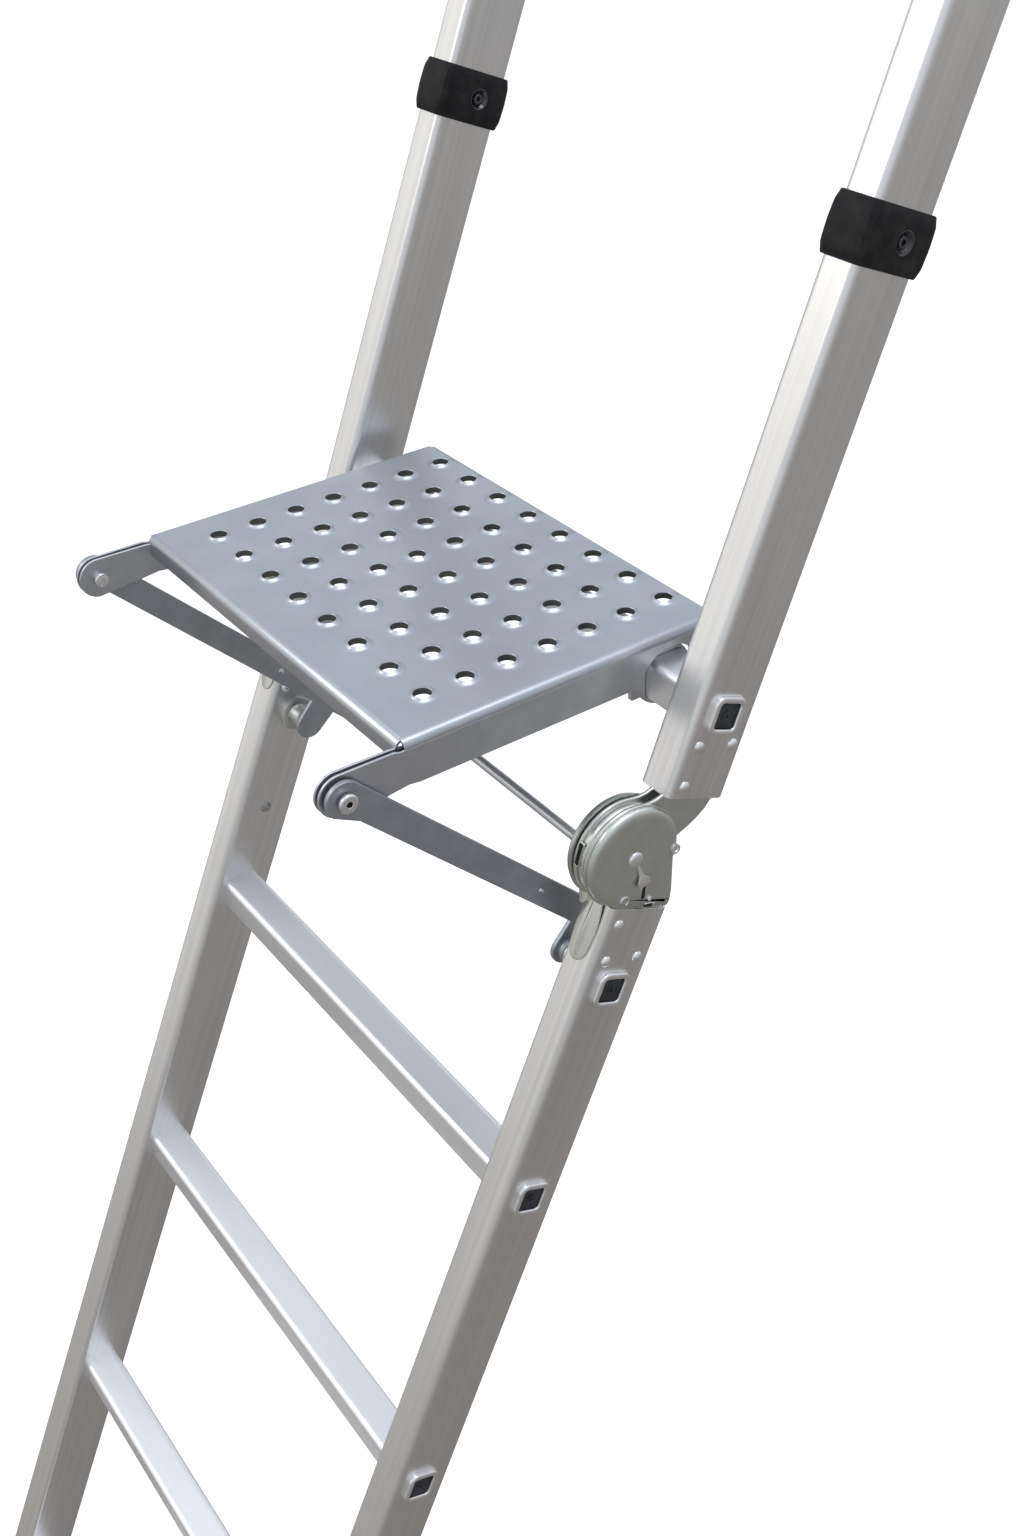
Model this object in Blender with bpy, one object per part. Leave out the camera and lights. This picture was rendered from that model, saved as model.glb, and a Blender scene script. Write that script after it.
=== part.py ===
"""Folding attic ladder with a perforated platform, modelled piece by piece in metres.

The row frame has +X to the ladder's right (seen from the climber's side), +Y away from the
climber and +Z up. The origin is midway between the posts, on the line where their back faces
meet the level of the platform's top: the line where the ladder leans on the hatch edge.
"""

import math

import bmesh
import bpy
from mathutils import Matrix, Vector

# ---- driving dimensions ------------------------------------------------------------------
WIDTH = 0.482  # over both stiles
STILE_WIDTH = 0.0304
STILE_DEPTH = 0.054
STILE_WALL = 0.0018
STILE_CORNER = 0.0055
LOWER_LEAN = math.radians(65.6)  # stile against the floor, below the hinges
UPPER_LEAN = math.radians(67.6)  # and above them
GAP = 0.0003  # between pieces that touch

RUNG_PITCH = 0.28
RUNG_COUNT = 6
RUNG_SIDE = 0.032
RUNG_WALL = 0.0022
RUNG_CORNER = 0.006
RUNG_DEPTH = 0.0287  # rung centre behind a stile's front face
FLARE = 0.004  # how far a rung's end is spread outside the stile
FLARE_THICKNESS = 0.0026

# along the stiles, measured from the fold axis
FIRST_RUNG = -0.286
ANCHOR = -0.105
LOWER_TOP = -0.0405
LOWER_END = FIRST_RUNG - (RUNG_COUNT - 1) * RUNG_PITCH - 0.17
POST_BOTTOM = 0.0438
PLATFORM_RUNG = 0.107
POST_JOINT = 0.419
POST_TOP = 1.12
SPARE_HOLE = -0.2
LOWER_FRONT = 0.0005  # the lower front face lies this far in front of the fold axis
UPPER_FRONT = 0.0135  # and the upper front face this far behind it

FOLD_BELOW_DECK = 0.1182
DISC_RADIUS = 0.039
WHEEL_RADIUS = 0.033
PIN_RADIUS = 0.0055
SHEET = 0.004  # hinge plates
RIVET_RADIUS = 0.0025
RIVET_HEAD = 0.0044

ROD_OFFSET = Vector((0.0, -0.0229, -0.0025))  # release rod from the fold axis, lower frame
ROD_RADIUS = 0.00375

DECK_WIDTH = 0.362
DECK_FRONT = -0.2606
DECK_BACK = 0.0014
DECK_SHEET = 0.002
DECK_BEND = 0.006
FLANGE_HEIGHT = 0.034
LIP_HEIGHT = 0.016
EAR_Y = -0.3046
EAR_DROP = 0.0195
EAR_RADIUS = 0.0155
HOLE_COLUMNS = 8
HOLE_ROWS = 7
HOLE_PITCH_X = 0.0405
HOLE_PITCH_Y = 0.0335
HOLE_FRONT = -0.2176
HOLE_RADIUS = 0.0055
BUSH_RADIUS = 0.0245

STRUT_WIDTH = 0.027
STRUT_THICKNESS = 0.004
STRUT_SLOPE = math.radians(45.5)
STRUT_TAIL = 0.318  # from the ear bolt, past the back of the lower stile
STRUT_HOLE = 0.203  # an empty hole along the bar, from the ear bolt
STRUT_FOOT = 0.0125
BOSS_RADIUS = 0.009
EAR_BOLT_RADIUS = 0.004

COLLAR_HEIGHT = 0.046
COLLAR_WALL = 0.0046
SET_SCREW_RADIUS = 0.003

STILE_X = (WIDTH - STILE_WIDTH) / 2
STILE_INNER = WIDTH / 2 - STILE_WIDTH
STILE_OUTER = WIDTH / 2
STRUT_X = DECK_WIDTH / 2 + 0.0025
BOSS_X = STRUT_X + 0.01  # where an anchor's boss meets the strut's own boss
SIDES = {"left": -1, "right": 1}

ALUMINIUM = ((0.80, 0.79, 0.77), 0.34, 1.0)
RUNG_ALUMINIUM = ((0.84, 0.86, 0.88), 0.3, 1.0)
DECK_STEEL = ((0.52, 0.55, 0.6), 0.42, 0.9)
STRUT_STEEL = ((0.36, 0.37, 0.39), 0.5, 0.8)
ZINC = ((0.62, 0.63, 0.58), 0.36, 1.0)
DARK_STEEL = ((0.16, 0.16, 0.17), 0.45, 0.8)
BLACK_PLASTIC = ((0.02, 0.02, 0.022), 0.5, 0.0)
NYLON = ((0.06, 0.06, 0.065), 0.55, 0.0)

for old in list(bpy.data.objects):
    bpy.data.objects.remove(old, do_unlink=True)


def make_collection(name):
    collection = bpy.data.collections.new(name)
    bpy.context.scene.collection.children.link(collection)
    return collection


PIECES = make_collection("attic_ladder")
CUTTERS = make_collection("cutters")


# ---- frames ------------------------------------------------------------------------------
def stile_axes(lean):
    """Unit vectors up the stile and out of its back face."""
    up = Vector((0, math.cos(lean), math.sin(lean)))
    back = Vector((0, math.sin(lean), -math.cos(lean)))
    return up, back


LOWER_UP, LOWER_BACK = stile_axes(LOWER_LEAN)
UPPER_UP, UPPER_BACK = stile_axes(UPPER_LEAN)


def fold_axis_point():
    """The fold axis, placed so that the posts' back faces pass through the origin."""
    reach = STILE_DEPTH + UPPER_FRONT
    along = (FOLD_BELOW_DECK - UPPER_BACK.z * reach) / UPPER_UP.z
    return Vector((0, -(UPPER_UP.y * along + UPPER_BACK.y * reach), -FOLD_BELOW_DECK))


FOLD = fold_axis_point()
RUNG_AXIS = FOLD + UPPER_UP * PLATFORM_RUNG + UPPER_BACK * (RUNG_DEPTH + UPPER_FRONT)
EAR_AXIS = Vector((0, EAR_Y, -EAR_DROP))
ANCHOR_AXIS = FOLD + LOWER_UP * ANCHOR + LOWER_BACK * (RUNG_DEPTH - LOWER_FRONT)


def make_empty(name, location, angle=0.0):
    empty = bpy.data.objects.new(name, None)
    empty.location = location
    empty.rotation_euler.x = angle
    empty.empty_display_size = 0.05
    PIECES.objects.link(empty)
    return empty


LOWER = make_empty("lower_frame", FOLD, LOWER_LEAN - math.pi / 2)
UPPER = make_empty("upper_frame", FOLD, UPPER_LEAN - math.pi / 2)
PLATFORM = make_empty("platform_frame", RUNG_AXIS)
STRUT_LINE = ANCHOR_AXIS - EAR_AXIS
STRUT = make_empty("strut_frame", EAR_AXIS, math.atan2(STRUT_LINE.z, STRUT_LINE.y))
RELEASE = make_empty(
    "release_frame", FOLD + LOWER.rotation_euler.to_matrix() @ ROD_OFFSET, LOWER_LEAN - math.pi / 2
)


# ---- modelling helpers -------------------------------------------------------------------
def material(look):
    color, roughness, metallic = look
    made = bpy.data.materials.new("finish")
    made.use_nodes = True
    shader = made.node_tree.nodes["Principled BSDF"]
    shader.inputs["Base Color"].default_value = (*color, 1)
    shader.inputs["Roughness"].default_value = roughness
    shader.inputs["Metallic"].default_value = metallic
    return made


def add_object(name, mesh, parent, look=None):
    """Link a mesh under a frame: as a finished piece when it has a look, else as a cutter."""
    made = bpy.data.objects.new(name, mesh)
    made.parent = parent
    if look:
        PIECES.objects.link(made)
        made_of = material(look)
        made_of.name = name + "_finish"
        mesh.materials.append(made_of)
        mesh.shade_smooth()
        mesh.set_sharp_from_angle(angle=math.radians(35))
    else:
        CUTTERS.objects.link(made)
        made.hide_render = True
        made.display_type = "WIRE"
    return made


def extruded(outlines, low, high):
    """A mesh with the first outline as its edge and the rest as its holes, from low to high in Z."""
    curve = bpy.data.curves.new("profile", "CURVE")
    curve.dimensions = "2D"
    curve.fill_mode = "BOTH"
    curve.extrude = (high - low) / 2
    for outline in outlines:
        spline = curve.splines.new("POLY")
        spline.points.add(len(outline) - 1)
        spline.use_cyclic_u = True
        for point, (u, v) in zip(spline.points, outline):
            point.co = (u, v, 0, 1)
    source = bpy.data.objects.new("profile", curve)
    bpy.context.scene.collection.objects.link(source)
    evaluated = source.evaluated_get(bpy.context.evaluated_depsgraph_get())
    mesh = bpy.data.meshes.new_from_object(evaluated)
    bpy.data.objects.remove(source)
    work = bmesh.new()
    work.from_mesh(mesh)
    bmesh.ops.remove_doubles(work, verts=work.verts, dist=1e-6)
    bmesh.ops.translate(work, verts=work.verts, vec=(0, 0, (low + high) / 2))
    bmesh.ops.recalc_face_normals(work, faces=work.faces)
    work.to_mesh(mesh)
    work.free()
    return mesh


def sideways(outlines, low, high):
    """The same with the outlines drawn in Y and Z, extruded along X."""
    mesh = extruded(outlines, low, high)
    mesh.transform(Matrix(((0, 0, 1, 0), (1, 0, 0, 0), (0, 1, 0, 0), (0, 0, 0, 1))))
    return mesh


def lengthways(outlines, low, high):
    """The same with the outlines drawn in X and Z, extruded along Y."""
    mesh = extruded(outlines, -high, -low)
    mesh.transform(Matrix.Rotation(math.pi / 2, 4, "X"))
    return mesh


def arc(centre, radius, start, end, steps):
    """Points on an arc; angles in degrees."""
    angles = [math.radians(start + (end - start) * i / steps) for i in range(steps + 1)]
    return [(centre[0] + radius * math.cos(a), centre[1] + radius * math.sin(a)) for a in angles]


def circle(centre, radius, steps=12):
    return arc(centre, radius, 0, 360, steps)[:-1]


def rounded_box(low, high, radius, steps=2):
    """A rectangle with round corners between two opposite corners."""
    corners = (
        ((high[0] - radius, low[1] + radius), -90),
        ((high[0] - radius, high[1] - radius), 0),
        ((low[0] + radius, high[1] - radius), 90),
        ((low[0] + radius, low[1] + radius), 180),
    )
    return [point for centre, start in corners for point in arc(centre, radius, start, start + 90, steps)]


def centred_box(width, height, radius, steps=2):
    return rounded_box((-width / 2, -height / 2), (width / 2, height / 2), radius, steps)


def box(low, high):
    outline = [(low[0], low[1]), (high[0], low[1]), (high[0], high[1]), (low[0], high[1])]
    return extruded([outline], low[2], high[2])


def boolean(target, other, operation, solver="EXACT"):
    modifier = target.modifiers.new(operation.lower(), "BOOLEAN")
    modifier.operation = operation
    modifier.solver = solver
    modifier.object = other


def cut(targets, mesh, parent, name="cutter"):
    """Take a shape away from one or more pieces. MANIFOLD keeps them closed after many cuts."""
    cutter = add_object(name, mesh, parent)
    for target in targets:
        boolean(target, cutter, "DIFFERENCE", "MANIFOLD")
    return cutter


def fuse(target, mesh, parent):
    """Join a shape to a piece."""
    boolean(target, add_object("addition", mesh, parent), "UNION")


def level(obj, frame):
    """Turn a child of a leaning frame back upright."""
    obj.rotation_euler.x = -frame.rotation_euler.x


# ---- stiles, rungs and feet ----------------------------------------------------------------
def stile_outlines(clearance=0.0):
    """A stile's outer and inner outline, about the middle of the section."""
    inner_corner = STILE_CORNER - STILE_WALL
    return [
        centred_box(STILE_WIDTH + 2 * clearance, STILE_DEPTH + 2 * clearance, STILE_CORNER + clearance),
        centred_box(STILE_WIDTH - 2 * STILE_WALL, STILE_DEPTH - 2 * STILE_WALL, inner_corner),
    ]


def add_stile(name, frame, side, front, low, high):
    stile = add_object(name, extruded(stile_outlines(), low, high), frame, ALUMINIUM)
    stile.location = (side * STILE_X, front + STILE_DEPTH / 2, 0)
    return stile


def rung_outline(extra=0.0):
    return centred_box(RUNG_SIDE + 2 * extra, RUNG_SIDE + 2 * extra, RUNG_CORNER + extra, 1)


def place_on_rung_line(obj, frame, front, along):
    obj.location = (0, front + RUNG_DEPTH, along)
    level(obj, frame)


def add_rung(name, frame, front, along, stiles):
    """A square tube through both stiles, its ends spread over their outer faces."""
    reach = STILE_OUTER + GAP
    bore = rung_outline(-RUNG_WALL)
    half = reach + FLARE_THICKNESS
    rung = add_object(name, sideways([rung_outline(), bore], -half, half), frame, RUNG_ALUMINIUM)
    place_on_rung_line(rung, frame, front, along)
    for side in SIDES.values():
        ends = sorted((side * reach, side * (half - 0.0002)))
        fuse(rung, sideways([rung_outline(FLARE), rung_outline(-RUNG_WALL / 2)], *ends), rung)
    cutter = cut(stiles, sideways([rung_outline(GAP)], -WIDTH, WIDTH), frame, name + "_hole")
    place_on_rung_line(cutter, frame, front, along)
    return rung


def add_anchor(side_name, side, stile):
    """The flared tube through a stile whose boss carries a strut's foot."""
    faces = sorted((side * (STILE_INNER - GAP), side * (STILE_OUTER + GAP + FLARE_THICKNESS)))
    anchor = add_object(
        f"strut_anchor_{side_name}", sideways([rung_outline(), rung_outline(-RUNG_WALL)], *faces), LOWER,
        RUNG_ALUMINIUM,
    )
    place_on_rung_line(anchor, LOWER, -LOWER_FRONT, ANCHOR)
    ends = sorted((side * (STILE_OUTER + GAP), side * (STILE_OUTER + GAP + FLARE_THICKNESS - 0.0002)))
    fuse(anchor, sideways([rung_outline(FLARE), rung_outline(-RUNG_WALL / 2)], *ends), anchor)
    shoulder = sorted((side * (STILE_INNER - 0.004), side * (STILE_INNER - GAP)))
    fuse(anchor, sideways([rung_outline(0.003)], *shoulder), anchor)
    boss = sorted((side * BOSS_X, side * (STILE_INNER - 0.002)))
    fuse(anchor, sideways([circle((0, 0), BOSS_RADIUS)], *boss), anchor)
    cutter = cut([stile], sideways([rung_outline(GAP)], *faces), LOWER, "anchor_hole")
    place_on_rung_line(cutter, LOWER, -LOWER_FRONT, ANCHOR)
    return anchor


def add_foot(side_name, side):
    """A moulded foot over a stile's lower end, its sole cut level with the floor."""
    wall = 0.004
    outline = centred_box(STILE_WIDTH + 2 * wall, STILE_DEPTH + 2 * wall, STILE_CORNER + wall)
    block = extruded([outline], LOWER_END - 0.05, LOWER_END + 0.075)
    foot = add_object(f"foot_{side_name}", block, LOWER, BLACK_PLASTIC)
    foot.location = (side * STILE_X, STILE_DEPTH / 2 - LOWER_FRONT, 0)
    inside = extruded(stile_outlines(GAP)[:1], LOWER_END - GAP, LOWER_END + 0.2)
    pocket = cut([foot], inside, LOWER, "foot_pocket")
    pocket.location = foot.location
    lowest = FOLD + LOWER_UP * LOWER_END + LOWER_BACK * (STILE_DEPTH - LOWER_FRONT)
    floor = lowest.z - 0.009
    below = box((-WIDTH, lowest.y - 0.3, floor - 0.3), (WIDTH, lowest.y + 0.3, floor))
    cut([foot], below, None, "floor_plane")
    return foot


# ---- hinges --------------------------------------------------------------------------------
def add_hinge(side_name, side, stile, post):
    """One locking hinge: two shells on the lower stile, a wheel plate on the post and their pin."""
    clear = STILE_WALL + GAP
    inset = STILE_CORNER + GAP
    leg = rounded_box(
        (-LOWER_FRONT + inset, -0.097), (-LOWER_FRONT + STILE_DEPTH - inset, LOWER_TOP + 0.006), 0.003
    )
    neck = [
        (-LOWER_FRONT + 0.003, LOWER_TOP + 0.0006),
        (-LOWER_FRONT + STILE_DEPTH - 0.004, LOWER_TOP + 0.0006),
        (0.034, -0.012),
        (-0.012, -0.012),
    ]
    pin_hole = circle((0, 0), PIN_RADIUS + GAP)
    shells = []
    for kind, face, into in (("outer", STILE_OUTER, -1), ("inner", STILE_INNER, 1)):
        def span(near, far):
            return sorted((side * (face + into * near), side * (face + into * far)))

        shell = add_object(
            f"hinge_{kind}_shell_{side_name}",
            sideways([circle((0, 0), DISC_RADIUS, 24), pin_hole], *span(-0.0026, 0.0018)), LOWER, ZINC,
        )
        fuse(shell, sideways([neck], *span(-0.0018, clear + 0.0016)), LOWER)
        fuse(shell, sideways([leg], *span(clear, clear + 0.0024)), LOWER)
        shells.append(shell)
    tube_clearance = cut(shells, sideways([rung_outline(0.001)], -WIDTH, WIDTH), LOWER, "anchor_clearance")
    place_on_rung_line(tube_clearance, LOWER, -LOWER_FRONT, ANCHOR)

    inside = sorted((side * (STILE_INNER + 0.008), side * (STILE_OUTER - 0.008)))
    wheel = sideways([circle((0, 0), WHEEL_RADIUS, 20), pin_hole], *inside)
    plate = add_object(f"hinge_wheel_plate_{side_name}", wheel, UPPER, ZINC)
    tongue = [
        (-0.01, 0.012),
        (0.03, 0.004),
        (UPPER_FRONT + STILE_DEPTH - 0.006, POST_BOTTOM - 0.0006),
        (UPPER_FRONT + 0.003, POST_BOTTOM - 0.0006),
    ]
    neck_x = sorted((side * (STILE_INNER + 0.0084), side * (STILE_OUTER - 0.0084)))
    fuse(plate, sideways([tongue], *neck_x), UPPER)
    block = rounded_box(
        (UPPER_FRONT + inset, POST_BOTTOM - 0.004), (UPPER_FRONT + STILE_DEPTH - inset, 0.094), 0.003
    )
    block_x = sorted((side * (STILE_INNER + clear), side * (STILE_OUTER - clear)))
    fuse(plate, sideways([block], *block_x), UPPER)
    rung_clearance = cut([plate], sideways([rung_outline(0.001)], -WIDTH, WIDTH), UPPER, "rung_clearance")
    place_on_rung_line(rung_clearance, UPPER, UPPER_FRONT, PLATFORM_RUNG)

    ends = sorted((side * (STILE_INNER - 0.0042), side * (STILE_OUTER + 0.0042)))
    pin = add_object(f"hinge_pin_{side_name}", sideways([circle((0, 0), PIN_RADIUS)], *ends), LOWER, ZINC)
    for face, out in ((STILE_OUTER + 0.0029, 1), (STILE_INNER - 0.0029, -1)):
        head = sorted((side * face, side * (face + out * 0.0022)))
        fuse(pin, sideways([circle((0, 0), 0.0095, 16)], *head), LOWER)

    lower_spots = ((0.0112, -0.053), (0.0119, -0.0823), (0.0411, -0.080))
    upper_spots = ((0.0115, 0.053), (0.0123, 0.083), (0.0433, 0.085))
    add_rivets(f"lower_rivet_{side_name}", side, LOWER, -LOWER_FRONT, lower_spots, [stile] + shells)
    add_rivets(f"upper_rivet_{side_name}", side, UPPER, UPPER_FRONT, upper_spots, [post, plate])
    return shells


def add_rivets(name, side, frame, front, spots, through):
    """Rivets through both walls of a stile and what is inside it."""
    centres = [(front + depth, along) for depth, along in spots]
    for number, centre in enumerate(centres, 1):
        ends = sorted((side * (STILE_INNER - 0.0015), side * (STILE_OUTER + 0.0015)))
        shank = sideways([circle(centre, RIVET_RADIUS, 8)], *ends)
        rivet = add_object(f"{name}_{number}", shank, frame, ZINC)
        for face, out in ((STILE_OUTER + GAP, 1), (STILE_INNER - GAP, -1)):
            head = sorted((side * face, side * (face + out * 0.0018)))
            fuse(rivet, sideways([circle(centre, RIVET_HEAD, 8)], *head), frame)
    reach = sorted((side * (STILE_INNER - 0.02), side * (STILE_OUTER + 0.02)))
    holes = [circle(centre, RIVET_RADIUS + GAP, 8) for centre in centres]
    cut(through, sideways(holes, *reach), frame, "rivet_holes")


# ---- release rod and levers -----------------------------------------------------------------
def add_release(inner_shells):
    """A rod across the ladder with a finger lever on each end, turning about the rod's own axis."""
    half = STILE_INNER + 0.0076
    add_object("release_rod", sideways([circle((0, 0), ROD_RADIUS, 12)], -half, half), RELEASE, ZINC)
    cut(inner_shells, sideways([circle((0, 0), ROD_RADIUS + GAP, 12)], -WIDTH, WIDTH), RELEASE, "rod_hole")
    front = -LOWER_FRONT - ROD_OFFSET.y  # the stile's front face, seen from the rod
    for side_name, side in SIDES.items():
        arm_x = sorted((side * (STILE_INNER + 0.0043), side * (STILE_INNER + 0.0073)))
        arm = arc((0, 0), 0.0085, 20, 200, 8) + [(front - 0.009, -0.05), (front - 0.0012, -0.05)]
        lever = add_object(f"release_lever_{side_name}", sideways([arm], *arm_x), RELEASE, ZINC)
        tongue_x = sorted((side * (STILE_INNER + 0.006), side * (STILE_INNER + 0.023)))
        tongue = [(front - 0.0036, -0.036), (front - 0.0011, -0.036)]
        tongue += [(front - 0.0011, -0.088), (front - 0.0036, -0.088)]
        fuse(lever, sideways([tongue], *tongue_x), RELEASE)
        cut([lever], sideways([circle((0, 0), ROD_RADIUS + GAP, 12)], -WIDTH, WIDTH), RELEASE, "rod_eye")


# ---- posts above the platform ----------------------------------------------------------------
def add_post_top(side_name, side):
    """The extension over the post's spigot, with its collar, set screw and end cap."""
    middle = (side * STILE_X, UPPER_FRONT + STILE_DEPTH / 2, 0)
    add_stile(f"post_extension_{side_name}", UPPER, side, UPPER_FRONT, POST_JOINT + GAP, POST_TOP)

    inner = (STILE_WIDTH - 2 * (STILE_WALL + GAP), STILE_DEPTH - 2 * (STILE_WALL + GAP))
    corner = STILE_CORNER - STILE_WALL - GAP
    spigot_outlines = [
        centred_box(*inner, corner),
        centred_box(inner[0] - 0.004, inner[1] - 0.004, corner - 0.001),
    ]
    spigot_mesh = extruded(spigot_outlines, POST_JOINT - 0.08, POST_JOINT + 0.08)
    spigot = add_object(f"post_spigot_{side_name}", spigot_mesh, UPPER, ALUMINIUM)
    spigot.location = middle

    around = (STILE_WIDTH + 2 * COLLAR_WALL, STILE_DEPTH + 2 * COLLAR_WALL)
    low, high = POST_JOINT - COLLAR_HEIGHT / 2, POST_JOINT + COLLAR_HEIGHT / 2
    outlines = [centred_box(*around, STILE_CORNER + COLLAR_WALL, 3), stile_outlines(GAP)[0]]
    collar = add_object(f"post_collar_{side_name}", extruded(outlines, low, high), UPPER, BLACK_PLASTIC)
    collar.location = middle

    centre = (UPPER_FRONT + STILE_DEPTH / 2, POST_JOINT)
    face = side * STILE_X + STILE_WIDTH / 2
    screw_x = (face + GAP * 2, face + COLLAR_WALL - 0.001)
    shank = sideways([circle(centre, SET_SCREW_RADIUS, 12)], *screw_x)
    screw = add_object(f"collar_screw_{side_name}", shank, UPPER, DARK_STEEL)
    cut([screw], sideways([circle(centre, 0.0015, 6)], face + 0.002, face + 0.02), UPPER, "hex_socket")
    bore = sideways([circle(centre, SET_SCREW_RADIUS + GAP, 12)], face - 0.0002, face + 0.02)
    cut([collar], bore, UPPER, "screw_hole")

    cap_outline = centred_box(STILE_WIDTH, STILE_DEPTH, STILE_CORNER)
    cap_mesh = extruded([cap_outline], POST_TOP + GAP, POST_TOP + 0.006)
    cap = add_object(f"post_cap_{side_name}", cap_mesh, UPPER, BLACK_PLASTIC)
    fuse(cap, extruded([centred_box(*inner, corner)], POST_TOP - 0.03, POST_TOP + 0.002), cap)
    cap.location = middle


# ---- platform --------------------------------------------------------------------------------
def flange_outline():
    """A deck flange seen from the side, from the round ear at the front to the back edge."""
    ear = arc((EAR_Y, -EAR_DROP), EAR_RADIUS, 90, 270, 8)
    saddle = arc((RUNG_AXIS.y, RUNG_AXIS.z), BUSH_RADIUS + 2 * GAP, 180, 0, 10)
    bottom = -FLANGE_HEIGHT
    return (
        ear
        + [(DECK_FRONT - 0.015, -EAR_DROP - EAR_RADIUS), (DECK_FRONT + 0.01, bottom)]
        + [(y, max(z, bottom)) for y, z in saddle]
        + [(DECK_BACK, bottom + 0.004), (DECK_BACK, -DECK_BEND), (DECK_FRONT + 0.004, -DECK_BEND)]
        + [(DECK_FRONT - 0.006, -EAR_DROP + EAR_RADIUS)]
    )


def hole_cutters():
    """One mesh with a short cylinder through every hole of the deck."""
    work = bmesh.new()
    for column in range(HOLE_COLUMNS):
        for row in range(HOLE_ROWS):
            x = (column - (HOLE_COLUMNS - 1) / 2) * HOLE_PITCH_X
            y = HOLE_FRONT + row * HOLE_PITCH_Y
            bmesh.ops.create_cone(
                work, cap_ends=True, segments=6, radius1=HOLE_RADIUS, radius2=HOLE_RADIUS, depth=0.02,
                matrix=Matrix.Translation((x, y, -DECK_SHEET / 2)),
            )
    mesh = bpy.data.meshes.new("holes")
    work.to_mesh(mesh)
    work.free()
    return mesh


def add_world_piece(name, mesh, parent, look):
    """A piece drawn in row coordinates, kept in place under its joint's frame."""
    made = add_object(name, mesh, parent, look)
    bpy.context.view_layer.update()
    made.matrix_parent_inverse = parent.matrix_world.inverted()
    return made


def add_deck():
    half = DECK_WIDTH / 2
    right = arc((half - DECK_BEND, -DECK_BEND), DECK_BEND, 0, 90, 4)
    inside = arc((half - DECK_BEND, -DECK_BEND), DECK_BEND - DECK_SHEET, 90, 0, 4)
    run = [(half, -0.0095)] + right
    back_run = inside + [(half - DECK_SHEET, -0.0095)]
    channel = (
        run + [(-x, z) for x, z in reversed(run)] + [(-x, z) for x, z in reversed(back_run)] + back_run
    )
    top = lengthways([channel], DECK_FRONT + 0.008, DECK_BACK)
    deck = add_world_piece("platform_deck", top, PLATFORM, DECK_STEEL)
    for side in SIDES.values():
        skin = sorted((side * (half - DECK_SHEET), side * half))
        fuse(deck, sideways([flange_outline()], *skin), None)
    bend = (DECK_FRONT + DECK_BEND, -DECK_BEND)
    lip = (
        [(DECK_FRONT + 0.012, 0)]
        + arc(bend, DECK_BEND, 90, 180, 4)
        + [(DECK_FRONT, -LIP_HEIGHT), (DECK_FRONT + DECK_SHEET, -LIP_HEIGHT)]
        + arc(bend, DECK_BEND - DECK_SHEET, 180, 90, 4)
        + [(DECK_FRONT + 0.012, -DECK_SHEET)]
    )
    fuse(deck, sideways([lip], -half + 0.012, half - 0.012), None)
    back_lip = [
        (DECK_BACK, -0.0005),
        (DECK_BACK, -0.012),
        (DECK_BACK - DECK_SHEET, -0.012),
        (DECK_BACK - DECK_SHEET, -0.0005),
    ]
    fuse(deck, sideways([back_lip], -half + 0.001, half - 0.001), None)
    cut([deck], hole_cutters(), None, "deck_holes")
    return deck


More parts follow.
